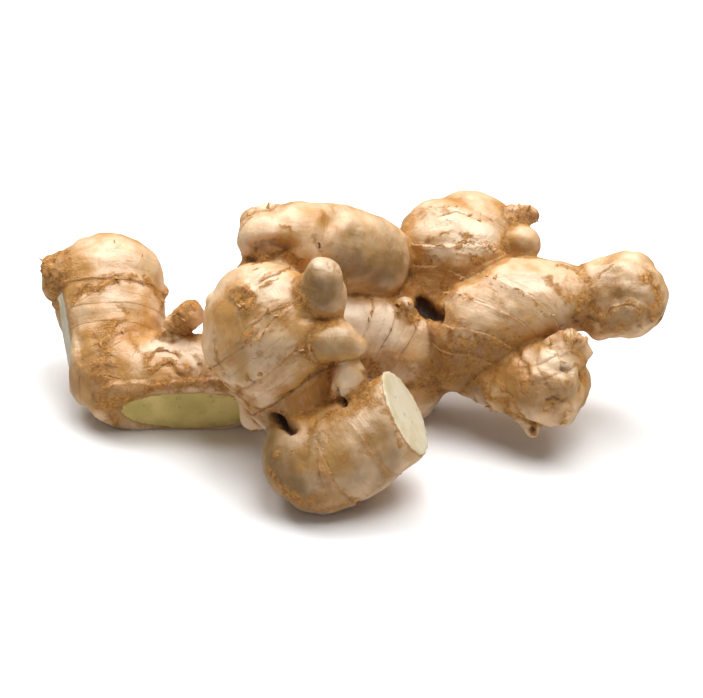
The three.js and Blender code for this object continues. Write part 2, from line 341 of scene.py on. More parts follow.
def swell(turn, place, seed):
    oval = growth["oval"] * np.sin(2 * turn + seed)
    lobes = growth["lobes"] * np.sin(3 * turn - growth["lobeTwist"] * place + 2 * seed)
    waist = growth["waist"] * np.sin(growth["waistPitch"] * place + 3 * seed)
    return 1 + oval + lobes + waist


def smoothStep(x, low, high):
    s = np.clip((x - low) / (high - low), 0, 1)
    return s * s * (3 - 2 * s)


def fingerShell(name, finger, path):  # a sphere drawn out along the finger's spine, and sliced where it was cut
    rowTotal = int((path["length"] + 3 * path["endCap"]) / growth["rowStep"]) + growth["spareRows"]
    shell = bmesh.new()
    bmesh.ops.create_uvsphere(shell, u_segments=growth["sides"], v_segments=rowTotal, radius=1)
    ball = np.array([v.co[:] for v in shell.verts])
    turn = np.arctan2(ball[:, 1], ball[:, 0])
    share = np.arccos(np.clip(ball[:, 2], -1, 1)) / math.pi
    startArc, endArc = path["startCap"] * math.pi / 2, path["endCap"] * math.pi / 2
    travel = share * (startArc + path["length"] + endArc)
    start = -path["startCap"] * np.cos(np.clip(travel / startArc, 0, 1) * math.pi / 2)
    end = path["endCap"] * np.sin(np.clip((travel - startArc - path["length"]) / endArc, 0, 1) * math.pi / 2)
    place = start + np.clip(travel - startArc, 0, path["length"]) + end
    centre, radius, side, up, _ = stationAt(path, place)
    reach = radius * swell(turn, place, finger.get("seed", 0))
    skin = centre + outwardOf(side, up, turn) * reach[:, None]
    for vert, spot in zip(shell.verts, skin):
        vert.co = spot
    bmesh.ops.remove_doubles(shell, verts=shell.verts, dist=near)
    bmesh.ops.recalc_face_normals(shell, faces=shell.faces)
    for cut in cuts.get(name, []):
        everything = shell.verts[:] + shell.edges[:] + shell.faces[:]
        bmesh.ops.bisect_plane(shell, geom=everything, plane_co=cut["at"], plane_no=cut["normal"],
                               clear_outer=True)
        bmesh.ops.holes_fill(shell, edges=[e for e in shell.edges if e.is_boundary], sides=0)
    return shell


# Growing the fingers into one skin

body = {
    "voxel": 0.745,  # mm
    "smoothing": 7,
    "relax": 0.5,
}

# How far the creases are filled, as the tissue grows together there
buds = ("leftBud", "crownBud", "sideBud", "thumbBud", "roundBud", "underBud", "smallBud", "lowTip", "lowNub")
melt = {"bud": 1, "finger": 0.35, "reach": 5, "rounds": 26, "hollowShadeRounds": 70, "hollowShadeDepths": (-0.75, 0.25)}


def growBody(paths):
    whole = bmesh.new()
    shellMesh = bpy.data.meshes.new("shell")
    for name, finger in fingers.items():
        shell = fingerShell(name, finger, paths[name])
        shell.to_mesh(shellMesh)
        shell.free()
        whole.from_mesh(shellMesh)
    bpy.data.meshes.remove(shellMesh)
    mesh = bpy.data.meshes.new("gingerSkin")
    whole.to_mesh(mesh)
    whole.free()
    root = bpy.data.objects.new("gingerSkin", mesh)
    bpy.context.scene.collection.objects.link(root)
    fuse = root.modifiers.new("fuse", "REMESH")
    fuse.mode = "VOXEL"
    fuse.voxel_size = body["voxel"]
    relax = root.modifiers.new("relax", "SMOOTH")
    relax.factor = body["relax"]
    relax.iterations = body["smoothing"]
    grown = bpy.data.meshes.new_from_object(root.evaluated_get(bpy.context.evaluated_depsgraph_get()))
    root.modifiers.clear()
    root.data = grown
    grown.name = "gingerSkin"
    bpy.data.meshes.remove(mesh)
    return root


def vertexArray(mesh, key, width=3):
    flat = np.empty(len(mesh.vertices) * width, dtype=np.float32)
    mesh.vertices.foreach_get(key, flat)
    return flat.reshape(-1, width).astype(float)


def nearestOn(path, spots):  # place along a finger, turn about it, and distance out from its axis
    place = np.empty(len(spots))
    for first in range(0, len(spots), 8000):
        some = spots[first:first + 8000]
        gap = ((some[:, None, :] - path["centre"][None, :, :]) ** 2).sum(axis=2)
        closest = gap.argmin(axis=1)
        off = ((some - path["centre"][closest]) * path["tangent"][closest]).sum(axis=1)
        place[first:first + 8000] = path["places"][closest] + off
    centre, radius, side, up, tangent = stationAt(path, place)
    arm = spots - centre
    turn = np.arctan2((arm * up).sum(axis=1), -(arm * side).sum(axis=1))
    return place, turn, np.linalg.norm(arm, axis=1)


far = 99.0  # mm, further than anything on the root
cutBand = 0.8  # mm to each side of a cut's plane that counts as the cut


def readSkin(spots, paths):  # which finger each point belongs to, and where it lies on it
    total = len(spots)
    nearest = np.full(total, far)
    second = np.full(total, far)
    owner = np.zeros(total, dtype=int)
    neighbour = np.zeros(total, dtype=int)
    place = np.zeros(total)
    turn = np.zeros(total)
    ringGap = np.full(total, 9.0)
    showOf = np.zeros(total)
    flesh = np.full(total, -9.0)
    tone = np.zeros(total)
    for number, (name, finger) in enumerate(fingers.items()):
        path = paths[name]
        reach = path["radius"].max() + 7
        low, high = path["centre"].min(axis=0) - reach, path["centre"].max(axis=0) + reach
        close = np.where(((spots > low) & (spots < high)).all(axis=1))[0]
        where, angle, out = nearestOn(path, spots[close])
        inside = np.clip(where, 0, path["length"])
        past = where - inside
        cap = np.where(past < 0, path["startCap"], path["endCap"])
        full = np.interp(inside, path["places"], path["radius"]) * swell(angle, where, finger.get("seed", 0))
        depth = np.sqrt(out ** 2 + (past * full / cap) ** 2) - full
        cutDepth = np.full(len(close), far)
        fleshHere = np.full(len(close), -9.0)
        toneHere = np.zeros(len(close))
        for cut in cuts.get(name, []):
            normal = np.array(cut["normal"]) / np.linalg.norm(cut["normal"])
            above = ((spots[close] - np.array(cut["at"])) * normal).sum(axis=1)
            inward = np.where(above > -0.7, -depth, above)
            better = (inward > fleshHere) & (above > -9)
            fleshHere = np.where(better, inward, fleshHere)
            toneHere = np.where(better, cut["tone"], toneHere)
            cutDepth = np.minimum(cutDepth, np.abs(above))
        effective = np.where((cutDepth < cutBand) & (depth < cutBand), 0, depth)
        fade = smoothStep(np.minimum(where + path["startCap"], path["length"] + path["endCap"] - where), 0,
                          growth["fadeReach"])
        _, _, side, up, _ = stationAt(path, where)
        lean = np.array(finger.get("lean", (0, 0, 0)))
        ringPlace = where - fade * (outwardOf(side, up, angle) @ lean)
        ringPlace += growth["wander"][0] * np.sin(2 * angle + number)
        ringPlace += growth["wander"][1] * np.sin(5 * angle + 2 * number)
        gaps = np.full(len(close), 9.0)
        shows = np.zeros(len(close))
        for ring, show in zip(finger["rings"], finger.get("show", [growth["ringShow"]] * 9)):
            gap = ringPlace - ring
            shows = np.where(np.abs(gap) < np.abs(gaps), show * fade, shows)
            gaps = np.where(np.abs(gap) < np.abs(gaps), gap, gaps)
        wins = effective < nearest[close]
        follows = ~wins & (effective < second[close])
        neighbour[close] = np.where(wins, owner[close], np.where(follows, number, neighbour[close]))
        second[close] = np.where(wins, nearest[close], np.minimum(second[close], effective))
        won = close[wins]
        nearest[won] = effective[wins]
        owner[won] = number
        place[won] = ringPlace[wins]
        turn[won] = angle[wins]
        ringGap[won] = gaps[wins]
        showOf[won] = shows[wins]
        flesh[won] = fleshHere[wins]
        tone[won] = toneHere[wins]
    return {"owner": owner, "neighbour": neighbour, "place": place, "turn": turn, "ring": ringGap,
            "show": showOf, "flesh": flesh, "tone": tone, "gap": second - nearest}


def evened(mesh, spots, rounds):  # spots drawn towards their neighbours, over and over
    ends = np.empty(len(mesh.edges) * 2, dtype=np.int32)
    mesh.edges.foreach_get("vertices", ends)
    a, b = ends[::2], ends[1::2]
    share = np.bincount(ends, minlength=len(spots))[:, None]
    for _ in range(rounds):
        total = np.column_stack([np.bincount(a, spots[b, i], len(spots))
                                 + np.bincount(b, spots[a, i], len(spots)) for i in range(3)])
        spots = 0.5 * spots + 0.5 * total / share
    return spots


ringStep = {
    "lip": 0.5,  # the skin stands this proud on the old side of a ring
    "groove": 0.55,
    "lipReach": 2.6,
    "lipEdge": 0.6,
    "grooveFloor": 0.15,
    "grooveReach": 1.5,
}


def ringRelief(gap):
    lip, groove, edge, floor = [ringStep[key] for key in ("lip", "groove", "lipEdge", "grooveFloor")]
    rise = lip * smoothStep(gap, -ringStep["lipReach"], -edge)
    drop = (lip + groove) * smoothStep(gap, -edge, floor)
    return rise - drop + groove * smoothStep(gap, floor, ringStep["grooveReach"])


def noiseAt(spots, size, seed=0.0):
    offset = Vector((seed, 2.7 * seed, -1.3 * seed))
    return np.array([noise.noise(Vector(spot) / size + offset) for spot in spots])


def stirred(spots, size, reach, seed=0.0):  # spots pushed about by noise, so that marks read there are ragged
    offset = Vector((seed, -seed, 2.3 * seed))
    return spots + reach * np.array([noise.noise_vector(Vector(spot) / size + offset)[:] for spot in spots])


# Marks on the skin. Each runs through pixels of the photograph, and is laid on whatever the root shows there.
# After the line stand how far it spreads to each side, in mm, and how strong it is.

# Stains: line, spread, rust, dark. The dark share is partly real dark marks and partly painted shade in
# hollows, gaps and under parts

stainsAndShade = {
    "tipScarTop": ([(54, 256), (46, 268), (48, 284)], 4.4, 1, 0.3),
    "tipScarFoot": ([(54, 278), (52, 298)], 3.2, 1, 0.2),
    "tipScarRim": ([(62, 250), (72, 258), (64, 278), (58, 296)], 2.2, 0.8, 0),
    "leftRingLow": ([(72, 300), (82, 288), (92, 286)], 2.2, 0.9, 0.2),
    "leftRingHigh": ([(98, 290), (106, 282), (120, 276), (130, 277)], 1.7, 0.85, 0.1),
    "leftRingEnd": ([(144, 279), (154, 290), (162, 304), (158, 312)], 1.6, 1, 0.15),
    "leftRingEdge": ([(165, 288), (164, 304)], 1.5, 0.6, 0.2),
    "leftPlates": ([(120, 306), (128, 314), (120, 322), (112, 330)], 1.3, 0.7, 0.1),
    "leftInner": ([(126, 326), (138, 346), (152, 362)], 1.2, 0.5, 0),
    "ladder": ([(108, 330), (101, 352), (100, 378), (108, 398)], 3.4, 0.7, 0.15),
    "elbow": ([(100, 400), (118, 408), (128, 396)], 4, 0.7, 0.1),
    "elbowBack": ([(128, 372), (140, 392)], 3, 0.4, 0.1),
    "armCurlTop": ([(146, 362), (158, 350), (168, 354), (176, 364), (190, 372)], 0.9, 1, 0.1),
    "armCurlMiddle": ([(152, 372), (164, 362), (174, 370), (168, 380)], 0.9, 1, 0.15),
    "armCurlLow": ([(172, 382), (190, 383), (200, 374), (206, 364)], 0.8, 0.8, 0.1),
    "armShoulder": ([(160, 336), (176, 334), (190, 340)], 2, 0.6, 0),
    "armUnder": ([(132, 398), (150, 388), (176, 383), (206, 384), (236, 389)], 2.6, 0.75, 0.1),
    "armFoot": ([(112, 416), (124, 426), (140, 432)], 2.4, 0.7, 0.1),
    "budRoot": ([(172, 322), (180, 330), (188, 334)], 2, 1, 0.35),
    "budStripes": ([(176, 318), (184, 308), (196, 302)], 3.4, 0.75, 0.2),
    "bodyEdge": ([(214, 344), (220, 362), (222, 374)], 1.5, 0.55, 0.1),
    "eyeCrease": ([(247, 258), (260, 262), (272, 257), (290, 257), (300, 262)], 1.7, 1, 0.45),
    "eyeHollow": ([(256, 244), (268, 242), (282, 244)], 1.7, 0.15, 0.35),
    "browLine": ([(260, 284), (276, 274), (292, 268)], 0.8, 0.9, 0.1),
    "browLineLow": ([(256, 306), (272, 300), (284, 304)], 0.8, 0.7, 0),
    "sideBudRoot": ([(300, 276), (298, 292), (306, 306)], 2.6, 0.75, 0.1),
    "sideBudUnder": ([(300, 312), (320, 318), (338, 319)], 1.4, 0.7, 0.35),
    "thumbRoot": ([(316, 328), (326, 323), (338, 324)], 1.8, 0.85, 0),
    "thumbSpot": ([(337, 340)], 1.2, 1, 0.35),
    "bodySpot": ([(249, 377)], 1.1, 0.9, 0.3),
    "lowerLedge": ([(272, 403), (297, 385), (322, 363)], 0.9, 0.8, 0.5),
    "lowerLedgeEdge": ([(330, 366), (330, 380), (326, 398)], 2, 0.85, 0.1),
    "neckFold": ([(262, 412), (290, 416), (312, 410), (330, 398)], 1.5, 0.7, 0.2),
    "neckFoldLow": ([(310, 428), (324, 418), (336, 408)], 1.3, 0.8, 0.15),
    "underBudCrease": ([(238, 390), (250, 405), (262, 412)], 1.2, 0.9, 0.35),
    "topScar": ([(283, 226), (288, 225), (292, 226)], 0.9, 1, 0.1),
    "topRing": ([(312, 236), (318, 240), (319, 256)], 1.3, 0.5, 0),
    "crownRoot": ([(242, 222), (252, 216), (268, 214)], 1, 0.7, 0.2),
    "crownSpot": ([(271, 205)], 0.8, 1, 0.1),
    "topEdge": ([(238, 238), (244, 226)], 1.4, 0.7, 0),
    "roundBudRoot": ([(360, 360), (366, 372), (364, 386), (356, 398)], 2.1, 1, 0.1),
    "cutTopEdge": ([(366, 362), (374, 370), (380, 380)], 2, 1, 0),
    "cutLeftEdge": ([(381, 388), (386, 404), (394, 424), (404, 444)], 1.2, 0.7, 0.05),
    "frontFlankTop": ([(366, 392), (376, 402)], 2.6, 0.5, 0),
    "frontHeel": ([(272, 474), (284, 488), (298, 500)], 3.4, 0.8, 0.05),
    "frontSole": ([(306, 506), (328, 510), (348, 502)], 2.4, 0.6, 0.1),
    "frontMarks": ([(290, 452), (295, 453)], 0.8, 0.8, 0.6),
    "frontMarkLow": ([(273, 456)], 0.8, 0.9, 0.4),
    "frontMarkHigh": ([(309, 443), (314, 443)], 0.5, 0.6, 0.6),
    "frontRight": ([(374, 456), (384, 468), (388, 474)], 1.6, 0.6, 0.1),
    "smallBudFlakes": ([(396, 304), (406, 310), (412, 318)], 1.8, 1, 0.3),
    "middlePatch": ([(428, 334), (434, 342)], 1.7, 0.8, 0),
    "middleUnder": ([(380, 352), (400, 358), (424, 362)], 1.4, 0.4, 0),
    "junction": ([(436, 386), (446, 366), (452, 350)], 2.6, 0.6, 0.1),
    "junctionSpeck": ([(450, 372), (455, 378)], 0.9, 0.6, 0.4),
    "backArcHigh": ([(412, 246), (430, 240), (458, 234), (482, 238), (500, 248)], 0.9, 0.8, 0.1),
    "backArcLow": ([(424, 262), (446, 256), (470, 254)], 0.8, 0.6, 0.1),
    "backPatch": ([(474, 258), (482, 262)], 1.9, 1, 0.2),
    "backRoot": ([(444, 286), (452, 283)], 1.9, 1, 0.15),
    "backFoot": ([(428, 306), (440, 298), (456, 290)], 2.4, 0.5, 0.1),
    "shoulderCrease": ([(508, 212), (514, 222), (508, 232), (504, 244)], 1.6, 1, 0.2),
    "shoulderShadow": ([(504, 254), (516, 257)], 1.2, 0.7, 0.6),
    "shoulderRough": ([(520, 208), (532, 214), (536, 226)], 2.2, 0.6, 0.3),
    "rightArcLow": ([(453, 344), (470, 334), (492, 330), (516, 333), (534, 338)], 0.9, 0.8, 0.3),
    "rightArcHigh": ([(480, 286), (506, 288), (528, 297), (550, 312), (572, 330)], 0.7, 0.5, 0.15),
    "rightPatch": ([(548, 280), (560, 292), (570, 302)], 2.1, 0.75, 0),
    "rightCrown": ([(566, 266), (580, 274), (586, 286)], 1.7, 0.7, 0.05),
    "knobCrease": ([(584, 282), (582, 298), (580, 310)], 1.6, 0.8, 0.2),
    "knobShadow": ([(576, 316), (584, 326), (592, 320)], 2.8, 0.6, 0.5),
    "knobSpot": ([(598, 300)], 0.8, 0.9, 0.1),
    "knobRim": ([(604, 318), (612, 312), (624, 309), (636, 311)], 0.9, 0.5, 0.1),
    "knobEdge": ([(646, 274), (655, 286), (660, 304), (654, 316)], 2.6, 0.95, 0.15),
    "knobBand": ([(616, 288), (634, 291), (650, 296)], 2.2, 0.3, 0),
    "knobNeck": ([(586, 300), (596, 316), (604, 328)], 2.4, 0.75, 0.3),
    "backGap": ([(420, 302), (428, 311), (438, 316)], 2.2, 0.3, 1),
    "backGapHigh": ([(411, 258), (411, 272), (408, 288)], 1.5, 0.5, 0.6),
    "rightUnder": ([(456, 352), (476, 342), (500, 346), (520, 350)], 3.4, 0.6, 0),
    "rightStart": ([(440, 306), (452, 318), (450, 336)], 2.8, 0.6, 0),
    "lowEdge": ([(484, 388), (500, 400), (514, 418)], 2.2, 0.8, 0),
    "lowShade": ([(556, 378), (570, 384)], 2.4, 0.4, 0.2),
    "lowTipDark": ([(526, 422), (534, 430)], 1.6, 0.8, 0.5),
    "middleFoot": ([(414, 376), (428, 388), (432, 396)], 3, 0.6, 0.1),
    "frontTop": ([(340, 414), (352, 408), (364, 398)], 2.6, 0.6, 0),
    "knobTipStain": ([(650, 312), (660, 312)], 1.6, 0.9, 0.2),
    "lowRing": ([(500, 382), (510, 396), (520, 410)], 1.3, 0.8, 0.2),
    "lowMarks": ([(522, 362), (526, 372)], 0.9, 0.8, 0.3),
    "lowTop": ([(540, 344), (552, 336), (560, 334)], 1.2, 0.8, 0.2),
    "lowNubStain": ([(566, 342), (580, 344), (588, 352)], 1.4, 0.6, 0.3),
    "lowSide": ([(578, 366), (586, 374), (582, 388)], 1.8, 0.85, 0.25),
    "lowScarRim": ([(548, 404), (560, 402), (568, 412), (558, 422), (548, 416)], 0.9, 0.8, 0.3),
    "lowTipStain": ([(522, 416), (530, 424)], 1.6, 0.7, 0.1),
    "lowRoot": ([(484, 386), (496, 374), (512, 362)], 1.6, 0.5, 0),
}

# Torn edges of old scale leaves, raised on their left as the line runs: line, how plain

ledges = {
    "armCurlTop": ([(147, 374), (148, 360), (158, 350), (170, 353), (180, 362)], 0.9),
    "armCurlMiddle": ([(152, 380), (160, 366), (170, 364), (178, 372), (190, 374)], 0.9),
    "armCurlLow": ([(166, 384), (182, 386), (196, 380), (204, 368)], 0.8),
    "armCurlRight": ([(186, 352), (196, 358), (202, 368)], 0.6),
    "leftStepHigh": ([(112, 334), (120, 322), (132, 318)], 0.7),
    "leftStepMiddle": ([(108, 344), (120, 334), (134, 332)], 0.6),
    "leftRung1": ([(92, 348), (102, 342), (114, 348)], 0.6),
    "leftRung2": ([(90, 360), (102, 353), (118, 358)], 0.6),
    "leftRung3": ([(89, 372), (102, 364), (120, 369)], 0.6),
    "leftRung4": ([(92, 385), (104, 376), (122, 381)], 0.6),
    "leftRung5": ([(98, 396), (110, 388), (126, 393)], 0.5),
    "leftCrack": ([(74, 300), (86, 288), (104, 280), (126, 276)], 0.9),
    "browHigh": ([(256, 288), (272, 276), (292, 266)], 0.7),
    "sideBudLip": ([(310, 268), (318, 272), (326, 271)], 0.4),
    "sideBudRim": ([(346, 288), (344, 276), (337, 265)], 0.8),
    "bodyRing": ([(241, 334), (262, 318), (283, 306), (300, 300)], 0.7),
    "backFold": ([(432, 218), (452, 212), (489, 224)], 0.6),
    "frontFold": ([(318, 440), (317, 456), (320, 474), (330, 500)], 0.7),
    "lowGrid1": ([(524, 350), (519, 366), (522, 386), (532, 404)], 0.5),
    "lowGrid2": ([(540, 346), (538, 364), (546, 384), (556, 396)], 0.5),
    "lowGrid3": ([(556, 348), (560, 364), (572, 380)], 0.5),
    "lowGrid4": ([(512, 370), (530, 366), (552, 360), (574, 352)], 0.4),
    "lowGrid5": ([(512, 386), (534, 382), (556, 374), (580, 364)], 0.4),
    "knobFold": ([(594, 284), (604, 272), (620, 264)], 0.5),
    "knobFoldLow": ([(604, 320), (612, 309), (626, 305), (642, 311)], 1),
}

# Deep gaps between parts of the root, with painted shade in them: line, spread, depth in mm, dark (how strong
# the painted shade is)

pits = {
    "neckHole": ([(275, 419), (282, 423), (291, 429)], 1.7, 3.6, 1),
    "backGap": ([(420, 303), (428, 311), (438, 316)], 2, 3, 1),
    "budGap": ([(336, 391), (339, 398), (344, 404)], 1.2, 2.6, 1),
    "topPit": ([(320, 244), (320.5, 248)], 0.6, 0.8, 0.9),
    "tipSlit": ([(327, 264), (330, 268)], 0.5, 0.7, 0.7),
    "tipSlitRight": ([(336, 265), (340, 272)], 0.5, 0.9, 0.8),
    "eyeHollowLine": ([(252, 247), (266, 241), (284, 246)], 1.6, 1, 0.3),
    "creaseEnd": ([(246, 259), (252, 261)], 1, 1, 0.6),
    "topRingFold": ([(320, 250), (322, 238), (330, 224), (342, 213)], 2.6, 1.1, 0),
    "lowPitHigh": ([(563, 369), (568, 371)], 1.4, 1.3, 0.6),
    "lowPitRight": ([(582, 373), (584, 379)], 1.4, 1.3, 0.6),
    "lowPitLow": ([(548, 400), (556, 398), (564, 402)], 1, 1.2, 0.4),
    "lowPitLeft": ([(524, 366), (528, 374)], 1.1, 1, 0.4),
    "thumbCleft": ([(300, 318), (320, 320), (338, 320)], 1, 0.8, 0.2),
    "lowCleft": ([(518, 352), (524, 366), (522, 374)], 1, 0.8, 0.2),
    "scarMiddle": ([(554, 409), (559, 413)], 1.4, 0.9, 0.15),
    "knobFoldDeep": ([(584, 326), (592, 330), (600, 332)], 1.2, 1, 0.2),
    "ledgeUnder": ([(276, 405), (300, 388), (324, 366)], 0.9, 0.7, 0.25),
}

# Broad rough brownish skin: line, spread, how much

grime = {
    "knobAll": ([(606, 286), (626, 296), (646, 300)], 8, 0.35),
    "knobLow": ([(600, 318), (624, 326), (648, 312)], 4, 0.8),
    "elbowAll": ([(88, 376), (104, 398), (124, 404)], 5, 0.5),
    "ladderAll": ([(112, 330), (104, 352), (102, 384)], 4.2, 0.5),
    "junctionAll": ([(436, 384), (456, 372), (482, 352)], 6, 0.85),
    "backEdge": ([(420, 262), (424, 284)], 4, 0.6),
    "tipAll": ([(50, 262), (50, 288)], 6, 1),
    "lowAll": ([(516, 380), (548, 400), (560, 410)], 6, 0.5),
    "lowTopAll": ([(560, 342), (582, 348)], 3, 0.7),
    "frontLow": ([(276, 478), (300, 500), (340, 500)], 5, 0.6),
    "neckAll": ([(246, 400), (262, 420), (300, 418), (330, 402)], 3.4, 0.7),
    "thumbAll": ([(304, 296), (320, 300), (336, 306)], 5, 0.35),
    "middleLow": ([(384, 352), (414, 366), (440, 372)], 4.5, 0.5),
    "backLow": ([(420, 282), (440, 292), (456, 280)], 4.5, 0.55),
    "crownAll": ([(248, 210), (262, 208), (272, 206)], 3, 0.4),
    "budAll": ([(178, 324), (190, 310), (200, 304)], 4, 0.8),
    "shoulderAll": ([(512, 212), (530, 214), (534, 224)], 4, 0.9),
    "bodyLow": ([(292, 392), (312, 382), (322, 372)], 4, 0.4),
    "armUnderAll": ([(132, 392), (168, 388), (222, 384)], 3, 0.6),
    "rightLow": ([(470, 366), (494, 360), (530, 342)], 4.5, 0.45),
}

warts = {
    "bodyUpper": ([(236, 296), (246, 296), (246, 304)], 2.6, 1),
    "bodyLower": ([(246, 340), (254, 334)], 2.2, 1),
    "tipWarts": ([(48, 266), (52, 282)], 4, 1),
}

# Dry whitish papery skin, and painted highlight and painted light on tops and on skin that lies in shade

paleAndLitPatches = {
    "sideBudTip": ([(315, 261), (322, 265)], 2.2, 0.9),
    "bodyCheek": ([(266, 292), (284, 284)], 4.5, 0.6),
    "middleCrown": ([(350, 314), (366, 326), (384, 322), (392, 334)], 6.5, 1),
    "middleCrownRight": ([(412, 330), (428, 340)], 4, 0.5),
    "backMiddle": ([(426, 230), (462, 226), (496, 232)], 4, 0.75),
    "backLow": ([(438, 250), (452, 246), (470, 245)], 3.6, 0.85),
    "rightMiddle": ([(474, 306), (504, 312)], 4.5, 0.35),
    "leftFront": ([(112, 298), (128, 300)], 4, 0.4),
    "armShoulder": ([(160, 346), (184, 344), (196, 352)], 4.5, 0.8),
    "backCrown": ([(430, 216), (476, 212)], 5, 0.6),
    "rightCrown": ([(500, 278), (530, 282)], 4.5, 0.7),
    "knobRim": ([(606, 311), (616, 305), (632, 305), (640, 310)], 1.1, 1),
    "crownBudTop": ([(252, 204), (270, 202)], 2.6, 0.8),
    "lowTop": ([(534, 358), (556, 358), (572, 364)], 4, 0.6),
    "roundBud": ([(344, 372), (350, 380)], 3.2, 0.8),
}

# Older skin, browner and duller than the rest, and painted shade under and between parts of the root

tannedAndShadedPatches = {
    "upperKnob": ([(356, 258), (378, 268), (396, 262)], 9, 1),
    "upperKnobFoot": ([(352, 278), (372, 287), (392, 284)], 4, 0.5),
    "sideBudBody": ([(310, 284), (322, 296), (334, 292)], 6, 1),
    "thumbUnder": ([(318, 346), (338, 350), (350, 348)], 4, 0.5),
    "frontLeft": ([(270, 440), (276, 470), (296, 490)], 8.5, 1),
    "frontMiddle": ([(318, 446), (330, 470), (350, 478)], 8, 0.7),
    "frontRight": ([(372, 432), (388, 456), (384, 474)], 6, 0.75),
    "knobAll": ([(600, 296), (626, 304), (646, 300)], 8, 0.65),
    "bodyLow": ([(250, 350), (268, 356), (286, 352)], 6, 0.3),
    "bodyUpper": ([(258, 322), (286, 318)], 4, 0.3),
    "backFoot": ([(424, 276), (432, 296)], 5, 0.35),
    "knobBand": ([(612, 290), (640, 294)], 4.5, 0.9),
    "knobScar": ([(614, 322), (632, 322)], 2.6, 0.7),
    "lowMiddle": ([(526, 396), (546, 388), (572, 384)], 4.5, 0.75),
    "rightUnder": ([(456, 362), (480, 350), (508, 352)], 4.5, 0.55),
    "junction": ([(436, 372), (452, 378), (470, 382)], 5, 0.7),
    "shoulderUnder": ([(510, 248), (534, 248)], 2.4, 0.6),
}

scars = [
    {"on": "rightKnob", "place": 4, "towards": (0, -0.99, -0.13), "radius": 5.4, "height": 1},
    {"on": "rightKnob", "place": 99, "towards": (0.58, -0.42, 0.69), "radius": 2.6, "height": 0.6},
    {"on": "lowFinger", "place": 99, "towards": (0.21, -0.92, -0.32), "radius": 3.4, "height": 1},
    {"on": "lowFinger", "place": 99, "towards": (0.26, -0.84, 0.48), "radius": 2.2, "height": 0.6},
]

patches = [
    {"on": "mainBody", "place": 26, "towards": (-0.36, -0.73, 0.57), "radius": 4, "height": 0.8},
    {"on": "mainBody", "place": 18, "towards": (-0.37, -0.75, 0.55), "radius": 3, "height": 0.8},
    {"on": "mainBody", "place": 27, "towards": (-0.93, -0.18, 0.29), "radius": 2.6, "height": 0.9},
    {"on": "leftFinger", "place": 2, "towards": (0.98, 0.05, -0.1), "radius": 2.4, "height": 1.4},
]

dents = [{"on": "topFinger", "place": -1.2, "towards": (0, -0.95, 0.24), "size": (6.5, 2.6, 2)}]

# How uneven some fingers are, where the others have 1
roughness = {"rightKnob": 1.9, "lowFinger": 2, "leftTip": 1.6, "crownBud": 1.8, "shoulderTip": 1.6,
             "lowNub": 1.6}


def spotOf(mark, paths):
    path = paths[mark["on"]]
    centre, radius, _, _, tangent = stationAt(path, np.array([min(mark["place"], path["length"])]))
    facing = Vector(mark["towards"])
    if mark["place"] < path["length"]:
        facing -= Vector(tangent[0]) * facing.dot(Vector(tangent[0]))
    facing.normalize()
    return Vector(centre[0]) + facing * radius[0], facing


longestStep = 7  # mm


def lineGap(spots, normals, line):  # distance from a line on the skin, and its sign: below 0 on the line's left
    gap = np.full(len(spots), far)
    signed = np.full(len(spots), far)
    for a, b in zip(line, line[1:]):
        run = b - a
        if np.linalg.norm(run) > longestStep:  # the line leaves one finger for another
            continue
        share = np.clip(((spots - a) @ run) / (run @ run), 0, 1)
        off = spots - a - share[:, None] * run
        away = np.linalg.norm(off, axis=1)
        left = (off * np.cross(normals, run)).sum(axis=1)
        closer = away < gap
        gap = np.where(closer, away, gap)
        signed = np.where(closer, -np.sign(left) * away, signed)
    return gap, signed


def seenLine(surface, pixels):  # a smooth line through pixels of the photograph, laid on the skin
    if len(pixels) == 1:
        pixels = [pixels[0], (pixels[0][0] + 0.5, pixels[0][1])]
    points = [Vector((*pixel, 0)) for pixel in pixels]
    total = 6 * (len(points) - 1)
    hits = [surface.ray_cast(*sightLine(*splinePoint(points, i / total)[:2]))[0] for i in range(total + 1)]
    return [np.array(hit[:]) for hit in hits if hit is not None]


def nearLine(spots, line, reach):
    ends = np.array(line)
    return np.where(((spots > ends.min(axis=0) - reach) & (spots < ends.max(axis=0) + reach)).all(axis=1))[0]


def markMasks(spots, normals, surface, marks, total):
    masks = np.zeros((total, len(spots)))
    for name, (pixels, wide, *strengths) in marks.items():
        line = seenLine(surface, pixels)
        if len(line) < 2:
            print("no skin under mark", name)
            continue
        close = nearLine(spots, line, 2 * wide + 2)
        gap, _ = lineGap(spots[close], normals[close], line)
        soft = 1 - smoothStep(gap, 0.1 * wide, 1.5 * wide)
        for mask, strength in zip(masks, strengths):
            mask[close] = np.maximum(mask[close], strength * soft)
    return masks


def addLedges(spots, normals, surface, facts):  # short torn scale edges, read as more ring lines
    for name, (pixels, show) in ledges.items():
        line = seenLine(surface, pixels)
        if len(line) < 2:
            print("no skin under ledge", name)
            continue
        close = nearLine(spots, line, 3)
        gap, signed = lineGap(spots[close], normals[close], line)
        wins = gap < np.minimum(np.abs(facts["ring"][close]), 3)
        ends = np.minimum(*[np.linalg.norm(spots[close] - end, axis=1) for end in (line[0], line[-1])])
        facts["ring"][close[wins]] = signed[wins]
        facts["show"][close[wins]] = (show * smoothStep(ends, 0.2, 3))[wins]


def cutOutline(facts, spots, surface):  # 1 on the cut flesh, dying away outside each cut's rounded outline
    outside = np.zeros(len(spots))
    for cut in cuts["leftFinger"]:
        line = seenLine(surface, [cut["middle"]])
        normal = np.array(cut["normal"]) / np.linalg.norm(cut["normal"])
        across = np.cross(normal, (0, 0, 1))
        across /= np.linalg.norm(across)
        off = spots - line[0]
        flat = np.abs(off @ normal) < 2.5
        reach = np.hypot((off @ across) / cut["half"][0], (off @ np.cross(across, normal)) / cut["half"][1])
        near = flat & (reach < 2.2) & (facts["flesh"] > -1.5)
        outside = np.where(near, np.maximum(outside, (reach - 1) * min(cut["half"])), outside)
    return outside


